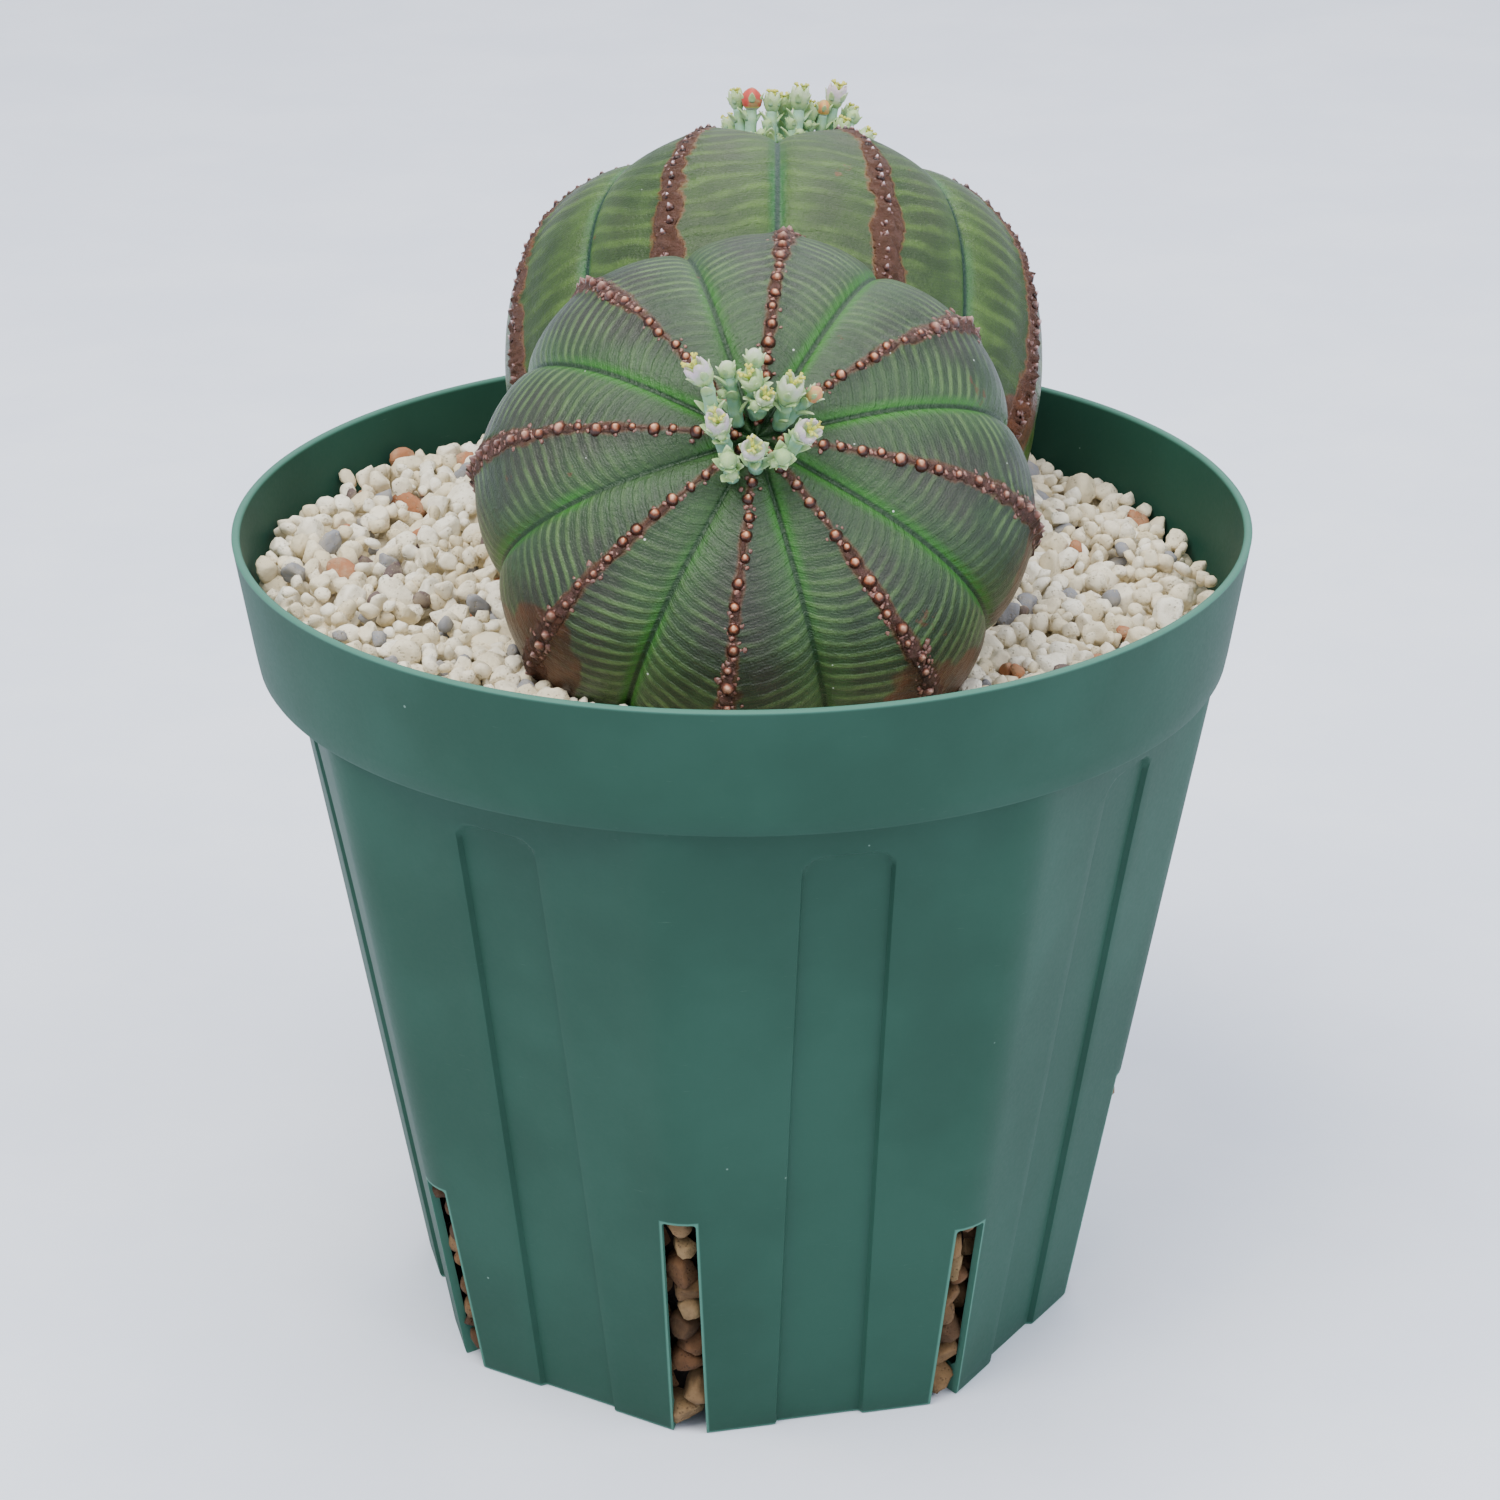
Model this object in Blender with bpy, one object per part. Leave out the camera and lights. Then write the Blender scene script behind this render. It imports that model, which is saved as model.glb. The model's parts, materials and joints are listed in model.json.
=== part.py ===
"""Two ball-shaped ribbed succulent stems in a round-rimmed, eight-sided plastic slit pot.

Metres, Z up, the front towards -Y, origin at the middle of the pot's base.
Azimuths run from -Y towards +X.
"""
import math

import bmesh
import bpy
from mathutils import Matrix, Vector, noise

MM = 0.001
TOUCH = 0.3 * MM              # gap left between pieces that touch

# Pot
RIM_R = 75.0 * MM             # outside of the rim at its top edge
BAND_R = 71.87 * MM           # outside of the rim band at its lower edge
BASE_R = 51.97 * MM           # corner radius of the eight-sided body at the base
BODY_R = 71.4 * MM            # corner radius of the body under the band
POT_H = 126.7 * MM
BAND_Z = 106.95 * MM
WALL = 1.5 * MM
FLOOR = 1.6 * MM
SIDES = 8
CORNER_AZ = math.radians(-9.825)
CORNER_BEVEL = 3.4 * MM       # set back along each side; gives a radius of about 8 mm
MITRE = math.tan(math.pi / SIDES)
SLIT_W = 5.0 * MM
SLIT_IN = 12.0 * MM           # how far a slit runs into the floor
SLIT_TOPS = (39.28 * MM, 32.44 * MM)
FOOT_RING = 9.0 * MM          # width of the flat ring that the pot stands on
FLOOR_RISE = 3.0 * MM
PANEL_W = 13.0 * MM
PANEL_TOP = 100.5 * MM
PANEL_DEEP = 0.7 * MM
PANEL_CORNER = 3.0 * MM

# Fill
SOIL_TOP = 107.0 * MM
GRAVEL_EDGE = 117.8 * MM      # gravel level at the pot's wall
GRAVEL_RISE = 1.6 * MM        # how much higher it lies by the stems
GRAVEL_TILT = 2.6 * MM        # higher on the left than on the right
PEBBLE = 7.0 * MM
PEBBLE_H = 0.9 * MM

# Stems
RIBS = 8
COLUMNS_PER_RIB = 6
STEM_ROWS = 36
BEAD_H = 1.1 * MM
BEAD_FROM = math.radians(14.0)
BEAD_TO = math.radians(112.0)
CONTACT_Y = -1.4 * MM         # plane where the two stems press together
CONTACT_SOFT = 1.2 * MM
STEM_LOW = 109.6 * MM         # the balls lie flattened on the fill at this level
WALL_CLEAR = 0.9 * MM         # least distance from the pot's inside
RIM_LEAN = 1.5                # how fast a stem may spread above the rim
ROOT_TOP_R = 9.0 * MM
ROOT_END_R = 3.5 * MM
ROOT_END_Z = 66.0 * MM

FRONT = dict(centre=(1.77, -30.0, 139.64), radius=39.32, up=25.2, down=31.0,
             lean=(0.006, -1.142), turn=math.radians(-6.72), power=0.954,
             groove=0.056, side=-1.0, root=(1.6, -13.0))
REAR = dict(centre=(5.06, 34.0, 137.09), radius=42.03, up=34.8, down=34.8,
            lean=(0.024, 0.962), turn=math.radians(22.02), power=0.866,
            groove=0.047, side=1.0, root=(4.6, 18.0))

# Flower sprays: foot on the stem, then the tips of its cups, in millimetres
FRONT_SPRAYS = (
    ((-2.2, -50.6, 154.6), ((-6.6, -52.0, 167.6), (-3.4, -54.4, 160.2))),
    ((-0.6, -47.6, 157.6), ((-2.2, -48.4, 166.6),)),
    ((2.0, -46.6, 158.4), ((1.2, -48.0, 168.2), (3.0, -51.4, 162.6))),
    ((5.0, -47.4, 157.2), ((7.0, -50.6, 164.4), (10.6, -49.0, 162.8))),
    ((5.2, -51.2, 153.4), ((9.4, -57.0, 159.8),)),
    ((1.8, -52.2, 153.0), ((1.4, -59.8, 158.2),)),
    ((-1.4, -53.2, 152.0), ((-2.6, -58.4, 155.4),)),
)
REAR_SPRAYS = (
    ((1.6, 56.6, 163.2), ((1.6, 58.4, 174.6), (-1.6, 60.6, 169.8))),
    ((4.6, 56.2, 163.8), ((5.2, 57.4, 173.2),)),
    ((6.8, 60.4, 161.2), ((5.6, 65.0, 170.2), (9.4, 66.4, 169.0))),
    ((8.2, 56.2, 163.5), ((9.2, 57.0, 173.8), (11.6, 58.8, 170.0))),
    ((11.6, 60.2, 160.4), ((16.4, 60.6, 173.0), (17.6, 63.8, 168.2))),
    ((12.2, 56.4, 162.0), ((20.2, 56.8, 168.2),)),
)
STALK_R = 0.85 * MM
CUP_R = 1.55 * MM
CUP_H = 3.6 * MM

PART_NAME = "ribbed_ball_stems_in_slit_pot"


def clear_scene():
    """Remove every object that the start-up file brings."""
    for obj in list(bpy.data.objects):
        bpy.data.objects.remove(obj, do_unlink=True)


def collection(name):
    """A new collection linked to the scene."""
    coll = bpy.data.collections.new(name)
    bpy.context.scene.collection.children.link(coll)
    return coll


def material(name, colour, roughness):
    """A Principled material with one colour."""
    mat = bpy.data.materials.new(name)
    mat.use_nodes = True
    shader = mat.node_tree.nodes["Principled BSDF"]
    shader.inputs["Base Color"].default_value = (*colour, 1.0)
    shader.inputs["Roughness"].default_value = roughness
    return mat


def new_object(name, mesh, coll, mat=None):
    """An object for a mesh, in a collection."""
    obj = bpy.data.objects.new(name, mesh)
    coll.objects.link(obj)
    if mat is not None:
        mesh.materials.append(mat)
    return obj


def mesh_from(name, bm):
    """Turn a bmesh into a mesh with its faces outwards."""
    bmesh.ops.recalc_face_normals(bm, faces=bm.faces[:])
    mesh = bpy.data.meshes.new(name)
    bm.to_mesh(mesh)
    bm.free()
    return mesh


def cutter(name, mesh, cutters):
    """A wire-drawn cutter object."""
    obj = new_object(name, mesh, cutters)
    obj.hide_render = True
    obj.display_type = "WIRE"
    return obj


def combine(obj, other, operation):
    """Add one Boolean modifier."""
    mod = obj.modifiers.new(operation.title(), "BOOLEAN")
    mod.operation = operation
    mod.solver = "EXACT"
    mod.object = other
    return mod


def applied(obj):
    """Bake an object's modifiers into its mesh and weld it."""
    bpy.context.view_layer.update()
    graph = bpy.context.evaluated_depsgraph_get()
    mesh = bpy.data.meshes.new_from_object(obj.evaluated_get(graph))
    obj.modifiers.clear()
    obj.data = mesh
    bm = bmesh.new()
    bm.from_mesh(mesh)
    bmesh.ops.remove_doubles(bm, verts=bm.verts[:], dist=0.01 * MM)
    bmesh.ops.recalc_face_normals(bm, faces=bm.faces[:])
    bm.to_mesh(mesh)
    bm.free()
    return obj


def around(azimuth, radius, z=0.0):
    """The point at an azimuth measured from -Y towards +X."""
    return Vector((radius * math.sin(azimuth), -radius * math.cos(azimuth), z))


def octagon_frustum(inset, low, high):
    """The eight-sided body with soft corners, its faces moved in by inset."""
    slope = (BODY_R - BASE_R) / BAND_Z
    off = inset / math.cos(math.pi / SIDES)
    r_low = BASE_R + slope * low - off
    r_high = BASE_R + slope * high - off
    bm = bmesh.new()
    bmesh.ops.create_cone(bm, cap_ends=True, segments=SIDES, radius1=r_low,
                          radius2=r_high, depth=high - low,
                          matrix=Matrix.Translation((0.0, 0.0, (low + high) / 2)))
    first = min(bm.verts, key=lambda v: (v.co.z, -v.co.x)).co
    spin = CORNER_AZ - math.atan2(first.x, -first.y)
    bmesh.ops.rotate(bm, verts=bm.verts[:], matrix=Matrix.Rotation(spin, 3, "Z"))
    upright = [e for e in bm.edges if abs(e.verts[0].co.z - e.verts[1].co.z) > (high - low) / 2]
    bmesh.ops.bevel(bm, geom=upright, offset=CORNER_BEVEL - inset * MITRE, segments=3,
                    affect="EDGES", profile=0.5, clamp_overlap=True)
    return mesh_from("body", bm)


def round_frustum(r_low, r_high, low, high, steps=96):
    """A plain turned frustum."""
    bm = bmesh.new()
    bmesh.ops.create_cone(bm, cap_ends=True, segments=steps, radius1=r_low, radius2=r_high,
                          depth=high - low,
                          matrix=Matrix.Translation((0.0, 0.0, (low + high) / 2)))
    return mesh_from("frustum", bm)


def box(size, matrix, bevel=0.0):
    """A box, with the two top edges along its own Y rounded where bevel is given."""
    bm = bmesh.new()
    bmesh.ops.create_cube(bm, size=1.0, matrix=Matrix.Diagonal((*size, 1.0)))
    if bevel:
        top = [e for e in bm.edges
               if all(v.co.z > 0 for v in e.verts)
               and abs(e.verts[0].co.y - e.verts[1].co.y) > size[1] / 2]
        bmesh.ops.bevel(bm, geom=top, offset=bevel, segments=3, affect="EDGES", profile=0.5)
    bm.transform(matrix)
    return mesh_from("box", bm)


def joined(name, meshes, cutters):
    """Several boxes that stay apart, as one cutter."""
    bm = bmesh.new()
    for mesh in meshes:
        bm.from_mesh(mesh)
    return cutter(name, mesh_from(name, bm), cutters)


def slit_cutters(cutters):
    """The cutter for the corner slits, through the wall and into the floor."""
    boxes = []
    for k in range(SIDES):
        azimuth = CORNER_AZ + k * math.tau / SIDES
        top = SLIT_TOPS[k % 2]
        place = Matrix.Translation(around(azimuth, BASE_R, top / 2 - 1.0 * MM))
        turn = Matrix.Rotation(azimuth, 4, "Z")
        boxes.append(box((SLIT_W, 2 * SLIT_IN, top + 2.0 * MM), place @ turn))
    return joined("slits", boxes, cutters)


def panel_cutters(cutters):
    """The shallow cutter for the sunk strip down the middle of each side."""
    mid = math.cos(math.pi / SIDES)
    lean = math.atan2((BODY_R - BASE_R) * mid, BAND_Z)
    thick = 6.0 * MM
    below = 4.0 * MM
    length = PANEL_TOP / math.cos(lean) + below
    boxes = []
    for k in range(SIDES):
        azimuth = CORNER_AZ + (k + 0.5) * math.tau / SIDES
        place = (Matrix.Rotation(azimuth, 4, "Z")
                 @ Matrix.Translation((0.0, -BASE_R * mid, 0.0))
                 @ Matrix.Rotation(lean, 4, "X")
                 @ Matrix.Translation((0.0, PANEL_DEEP - thick / 2, length / 2 - below)))
        boxes.append(box((PANEL_W, thick, length), place, PANEL_CORNER))
    return joined("panels", boxes, cutters)


def rim_radius(z):
    """Outside radius of the rim band at a height."""
    return BAND_R + (RIM_R - BAND_R) * (z - BAND_Z) / (POT_H - BAND_Z)


def inner_top_radius(z):
    """Inside radius of the rim band at a height."""
    return rim_radius(z) - WALL


def make_pot(coll, cutters, mat):
    """The pot: eight-sided body, round band, hollow, floor, slits and sunk strips."""
    over = 6.0 * MM
    step = BAND_Z + WALL
    pot = new_object("pot", octagon_frustum(0.0, 0.0, BAND_Z + 0.6 * MM), coll, mat)
    band = cutter("band", round_frustum(BAND_R, RIM_R, BAND_Z, POT_H), cutters)
    inner = cutter("inner", octagon_frustum(WALL, FLOOR + FLOOR_RISE, step + 0.5 * MM), cutters)
    upper = cutter("upper", round_frustum(inner_top_radius(step), inner_top_radius(POT_H + over),
                                          step, POT_H + over), cutters)
    foot_r = BASE_R * math.cos(math.pi / SIDES) - FOOT_RING
    under = cutter("under", round_frustum(foot_r, foot_r - 2.0 * MM, -2.0 * MM, FLOOR_RISE, 48),
                   cutters)
    combine(pot, band, "UNION")
    for tool in (inner, upper, under, panel_cutters(cutters), slit_cutters(cutters)):
        combine(pot, tool, "DIFFERENCE")
    return applied(pot)


def stem_axes(stem):
    """Axis of a stem and the two directions across it."""
    axis = Vector((*stem["lean"], 1.0)).normalized()
    front = Vector((0.0, -1.0, 0.0))
    front = (front - axis * front.dot(axis)).normalized()
    across = axis.cross(front)
    if across.x < 0:
        across = -across
    return axis, front, across


def soft_side(value, side, limit):
    """Hold a value on its own side of a limit, softly."""
    away = (value - limit) * side
    return limit + side * 0.5 * (away + math.sqrt(away * away + CONTACT_SOFT ** 2))


def held_inside(point, grow):
    """Keep a point of a stem above the bed and inside the pot's rim."""
    point.z = soft_side(point.z, 1.0, STEM_LOW - grow)
    out = math.hypot(point.x, point.y)
    free = max(0.0, point.z - POT_H) * RIM_LEAN
    limit = inner_top_radius(min(point.z, POT_H)) - WALL_CLEAR + grow + free
    if out > limit / 2:
        held = soft_side(out, -1.0, limit)
        point.x *= held / out
        point.y *= held / out
    return point


def stem_point(stem, theta, phi, grow=0.0, bead=0.0):
    """A point on a stem's skin: theta from its growing tip, phi around it."""
    axis, front, across = stem_axes(stem)
    sector = (phi - stem["turn"]) / (math.tau / RIBS)
    groove = abs((sector + 0.5) % 1.0 - 0.5) * 2.0
    power = stem["power"]
    spread = math.sin(theta) ** power if 0.0 < theta < math.pi else 0.0
    upper = math.cos(theta) >= 0.0
    reach = stem["up"] if upper else stem["down"]
    rise = math.copysign(abs(math.cos(theta)) ** power, math.cos(theta))
    radius = stem["radius"] * MM * spread * (1.0 - stem["groove"] * groove ** 2.2)
    out = front * math.cos(phi) + across * math.sin(phi)
    skin = out * radius + axis * (rise * reach * MM)
    skin += skin.normalized() * (grow + bead)
    point = held_inside(Vector(stem["centre"]) * MM + skin, grow)
    limit = CONTACT_Y + stem["side"] * (TOUCH / 2 - grow)
    point.y = soft_side(point.y, stem["side"], limit)
    return point


def stem_mesh(stem, grow=0.0, beads=True):
    """A stem grown from a sphere, ribbed by the formula, with a bead on every other row."""
    columns = RIBS * COLUMNS_PER_RIB
    bm = bmesh.new()
    bmesh.ops.create_uvsphere(bm, u_segments=columns, v_segments=STEM_ROWS, radius=1.0)
    for vert in bm.verts:
        x, y, z = vert.co
        theta = math.acos(max(-1.0, min(1.0, z)))
        column = round(math.atan2(y, x) / math.tau * columns)
        row = round(theta / math.pi * STEM_ROWS)
        phi = stem["turn"] + column * math.tau / columns
        on_rib = column % COLUMNS_PER_RIB == 0 and row % 2 == 0
        bead = BEAD_H if beads and on_rib and BEAD_FROM < theta < BEAD_TO else 0.0
        vert.co = stem_point(stem, theta, phi, grow, bead)
        if bead and vert.co.z < GRAVEL_EDGE + 5.0 * MM:
            vert.co = stem_point(stem, theta, phi, grow)
    return mesh_from("stem", bm)


def root_mesh(stem, grow=0.0):
    """The tapering root neck under a stem."""
    top = stem["centre"][2] * MM - 18.0 * MM
    bm = bmesh.new()
    depth = top - ROOT_END_Z + grow
    place = Matrix.Translation((stem["root"][0] * MM, stem["root"][1] * MM, top - depth / 2))
    bmesh.ops.create_cone(bm, cap_ends=True, segments=16, radius1=ROOT_END_R + grow,
                          radius2=ROOT_TOP_R + grow, depth=depth, matrix=place)
    return mesh_from("root", bm)


def make_stem(name, stem, coll, cutters, mat):
    """One natural piece: the ribbed ball fused with its root neck."""
    obj = new_object(name, stem_mesh(stem), coll, mat)
    combine(obj, cutter(f"{name}_root", root_mesh(stem), cutters), "UNION")
    return applied(obj)


def hollows(name, stem, cutters):
    """The two cutters that leave room for a stem and its root in the fill."""
    ball = cutter(f"{name}_hollow", stem_mesh(stem, TOUCH, beads=False), cutters)
    root = cutter(f"{name}_root_hollow", root_mesh(stem, TOUCH), cutters)
    return ball, root


def gravel_level(x, y):
    """Height of the gravel: mounded by the stems, higher on the left."""
    out = min(1.0, math.hypot(x, y) / inner_top_radius(GRAVEL_EDGE))
    return GRAVEL_EDGE + GRAVEL_RISE * (1.0 - out * out) - GRAVEL_TILT * x / RIM_R


def pebble_relief(x, y):
    """Rounded bumps the size of the larger pebbles, from a cell pattern."""
    near = noise.voronoi(Vector((x, y, 0.0)) / PEBBLE)[0][0]
    return PEBBLE_H * (1.0 - 1.6 * min(near, 1.0))


def make_soil(coll, tools, mat):
    """The coarse grit that fills the body up to the gravel."""
    soil = new_object("soil", octagon_frustum(WALL + TOUCH, FLOOR + FLOOR_RISE + TOUCH, SOIL_TOP),
                      coll, mat)
    for tool in tools:
        combine(soil, tool, "DIFFERENCE")
    return applied(soil)


def make_gravel(coll, tools, mat):
    """The pale pebble layer: rings of a turned disc raised by the relief."""
    low = BAND_Z + WALL + TOUCH
    steps = 64
    rings = 13
    bm = bmesh.new()
    bottom = [bm.verts.new(around(i * math.tau / steps, inner_top_radius(low) - TOUCH, low))
              for i in range(steps)]
    bm.faces.new(bottom)
    last = bottom
    edge = inner_top_radius(GRAVEL_EDGE) - TOUCH
    for ring in range(rings):
        radius = edge * (1.0 - ring / rings)
        loop = []
        for i in range(steps):
            spot = around((i + 0.5 * (ring % 2)) * math.tau / steps, radius)
            spot.z = gravel_level(spot.x, spot.y)
            if ring:
                spot.z += pebble_relief(spot.x, spot.y)
            else:
                spot.xy *= (inner_top_radius(spot.z) - TOUCH) / radius
            loop.append(bm.verts.new(spot))
        for i in range(steps):
            j = (i + 1) % steps
            bm.faces.new((last[i], last[j], loop[j], loop[i]))
        last = loop
    hub = bm.verts.new((0.0, 0.0, gravel_level(0.0, 0.0)))
    for i in range(steps):
        bm.faces.new((last[i], last[(i + 1) % steps], hub))
    gravel = new_object("top_gravel", mesh_from("top_gravel", bm), coll, mat)
    for tool in tools:
        combine(gravel, tool, "DIFFERENCE")
    return applied(gravel)


def stalk_mesh(points):
    """A thin round stalk along a few points."""
    curve = bpy.data.curves.new("stalk", "CURVE")
    curve.dimensions = "3D"
    curve.bevel_depth = STALK_R
    curve.bevel_resolution = 1
    curve.use_fill_caps = True
    spline = curve.splines.new("POLY")
    spline.points.add(len(points) - 1)
    for spot, point in zip(spline.points, points):
        spot.co = (*point, 1.0)
    holder = bpy.data.objects.new("stalk", curve)
    bpy.context.scene.collection.objects.link(holder)
    bpy.context.view_layer.update()
    graph = bpy.context.evaluated_depsgraph_get()
    mesh = bpy.data.meshes.new_from_object(holder.evaluated_get(graph))
    bpy.data.objects.remove(holder, do_unlink=True)
    bm = bmesh.new()
    bm.from_mesh(mesh)
    bmesh.ops.remove_doubles(bm, verts=bm.verts[:], dist=0.01 * MM)
    bmesh.ops.recalc_face_normals(bm, faces=bm.faces[:])
    bm.to_mesh(mesh)
    bm.free()
    return mesh


def cup_mesh(tip, direction):
    """A flower cup: a small sphere drawn out into a barrel with a wider mouth."""
    bm = bmesh.new()
    bmesh.ops.create_uvsphere(bm, u_segments=8, v_segments=6, radius=1.0)
    for vert in bm.verts:
        height = vert.co.z
        flare = 1.0 + 0.25 * height
        vert.co.x *= CUP_R * flare
        vert.co.y *= CUP_R * flare
        vert.co.z = height * CUP_H / 2
    turn = direction.to_track_quat("Z", "Y").to_matrix().to_4x4()
    bm.transform(Matrix.Translation(tip - direction * (CUP_H / 2)) @ turn)
    return mesh_from("cup", bm)


def make_spray(name, foot, tips, axis, coll, cutters, mat):
    """One branched spray: stalks that part above the foot, each with a cup at its end."""
    foot = Vector(foot) * MM
    spray = None
    for number, tip in enumerate(tips):
        tip = Vector(tip) * MM
        along = (tip - foot).normalized()
        bend = foot.lerp(tip, 0.45) + axis * (0.7 * MM)
        end = tip - (tip - bend).normalized() * (CUP_H * 0.6)
        stalk = stalk_mesh((foot, foot.lerp(bend, 0.5) + axis * (0.4 * MM), bend, end))
        cup = cup_mesh(tip, (tip - bend).normalized().lerp(along, 0.3).normalized())
        if spray is None:
            spray = new_object(name, stalk, coll, mat)
        else:
            combine(spray, cutter(f"{name}_stalk_{number}", stalk, cutters), "UNION")
        combine(spray, cutter(f"{name}_cup_{number}", cup, cutters), "UNION")
    return applied(spray)


def make_sprays(prefix, stem, sprays, coll, cutters, mat):
    """All sprays at one stem's growing tip, their feet just off its skin."""
    axis = stem_axes(stem)[0]
    made = []
    for number, (foot, tips) in enumerate(sprays, start=1):
        name = f"{prefix}_spray_{number}"
        spray = make_spray(name, foot, tips, axis, coll, cutters, mat)
        combine(spray, bpy.data.objects[f"{prefix}_skin"], "DIFFERENCE")
        made.append(applied(spray))
    return made


def main():
    """Build every piece."""
    clear_scene()
    parts = collection(PART_NAME)
    cutters = collection("cutters")
    plastic = material("pot_plastic", (0.045, 0.125, 0.095), 0.45)
    grit = material("coarse_grit", (0.25, 0.15, 0.08), 0.9)
    pale = material("pale_gravel", (0.69, 0.61, 0.49), 0.9)
    skin = material("stem_skin", (0.08, 0.13, 0.055), 0.5)
    bloom = material("flower_green", (0.48, 0.58, 0.42), 0.5)
    make_pot(parts, cutters, plastic)
    tools = (*hollows("front", FRONT, cutters), *hollows("rear", REAR, cutters))
    make_soil(parts, tools, grit)
    make_gravel(parts, tools, pale)
    for prefix, stem, sprays in (("front", FRONT, FRONT_SPRAYS), ("rear", REAR, REAR_SPRAYS)):
        make_stem(f"{prefix}_stem", stem, parts, cutters, skin)
        cutter(f"{prefix}_skin", stem_mesh(stem, TOUCH, beads=True), cutters)
        make_sprays(prefix, stem, sprays, parts, cutters, bloom)
    for tool in list(cutters.objects):
        bpy.data.objects.remove(tool, do_unlink=True)


main()
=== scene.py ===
"""Looks of a potted, two-stemmed ribbed ball succulent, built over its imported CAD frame.

Lengths in the shape classes are millimetres, because every measured size of the plant and
its pot is; the mesh helpers turn them into metres. The front faces -Y, and azimuths run
from -Y towards +X.
"""
import json
import logging
import math
from collections.abc import Callable
from dataclasses import dataclass, field
from enum import Enum
from functools import partial

import bmesh
import bpy
import numpy as np
from mathutils import Matrix, Vector, noise
from mathutils.bvhtree import BVHTree

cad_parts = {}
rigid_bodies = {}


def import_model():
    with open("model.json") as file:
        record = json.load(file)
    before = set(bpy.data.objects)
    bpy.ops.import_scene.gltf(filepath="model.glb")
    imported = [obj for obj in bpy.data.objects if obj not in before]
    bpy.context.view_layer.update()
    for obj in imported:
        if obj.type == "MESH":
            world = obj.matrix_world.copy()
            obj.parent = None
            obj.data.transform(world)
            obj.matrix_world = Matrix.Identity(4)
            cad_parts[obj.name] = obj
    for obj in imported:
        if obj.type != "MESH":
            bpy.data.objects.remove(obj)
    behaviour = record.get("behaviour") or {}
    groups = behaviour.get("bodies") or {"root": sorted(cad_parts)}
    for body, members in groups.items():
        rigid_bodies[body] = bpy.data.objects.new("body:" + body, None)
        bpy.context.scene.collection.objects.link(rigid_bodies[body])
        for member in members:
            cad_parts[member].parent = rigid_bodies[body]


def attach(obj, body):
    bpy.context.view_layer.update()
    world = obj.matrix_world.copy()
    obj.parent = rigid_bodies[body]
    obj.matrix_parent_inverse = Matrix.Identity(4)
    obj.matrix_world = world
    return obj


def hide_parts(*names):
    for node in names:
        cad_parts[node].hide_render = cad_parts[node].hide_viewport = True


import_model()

MM = 0.001
TAU = math.tau
Socket = bpy.types.NodeSocket
Put = Callable[..., Socket]
log = logging.getLogger("baseball_plant")

# Pot, measured from the photo's camera fit
SIDES = 8
CORNER_AZ = math.radians(-9.825)
BASE_R = 51.97
BODY_R = 71.4
BAND_Z = 106.95
BAND_R = 71.87
RIM_R = 75.0
POT_H = 126.7
WALL = 1.3

# Slits at the corners: even corners have the taller ones
SLIT_TOPS = (39.28, 32.44)
SLIT_WIDTH = 5.0

# Level of the pale gravel, and of the underside of its packed bed
GRAVEL_EDGE = 118.4
GRAVEL_RISE = 1.0
GRAVEL_TILT = 2.9
GRAVEL_R = 72.0
BED_Z = 108.8

# How fast a stem may spread above the rim, in millimetres for each millimetre up
RIM_LEAN = 1.5

# Angle from the growing tip, in radians, at which a stem's skin is full grown
GROWN = 1.9

# The sprays of each stem count their seeds on from this
SPRAY_SEED = 300


class Stem(Enum):
    """Which of the two stems a piece belongs to."""

    FRONT = "front"
    REAR = "rear"


class Grain(Enum):
    """The two kinds of loose fill."""

    PEBBLE = "pebble"
    GRIT = "grit"


# Colour and nodes


@dataclass(frozen=True)
class NodeKind:
    """A node's type, the inputs that take the values in order, its output and its settings."""

    type: str
    inputs: tuple[int | str, ...] = (0, 1, 2)
    output: int | str | None = 0
    settings: tuple[tuple[str, object], ...] = ()


def sum_of(operation: str) -> NodeKind:
    """Describe the node that works out one kind of sum.

    Args:
        operation: the node's operation.

    Returns:
        The node's description.
    """
    return NodeKind("ShaderNodeMath", settings=(("operation", operation),))


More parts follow.
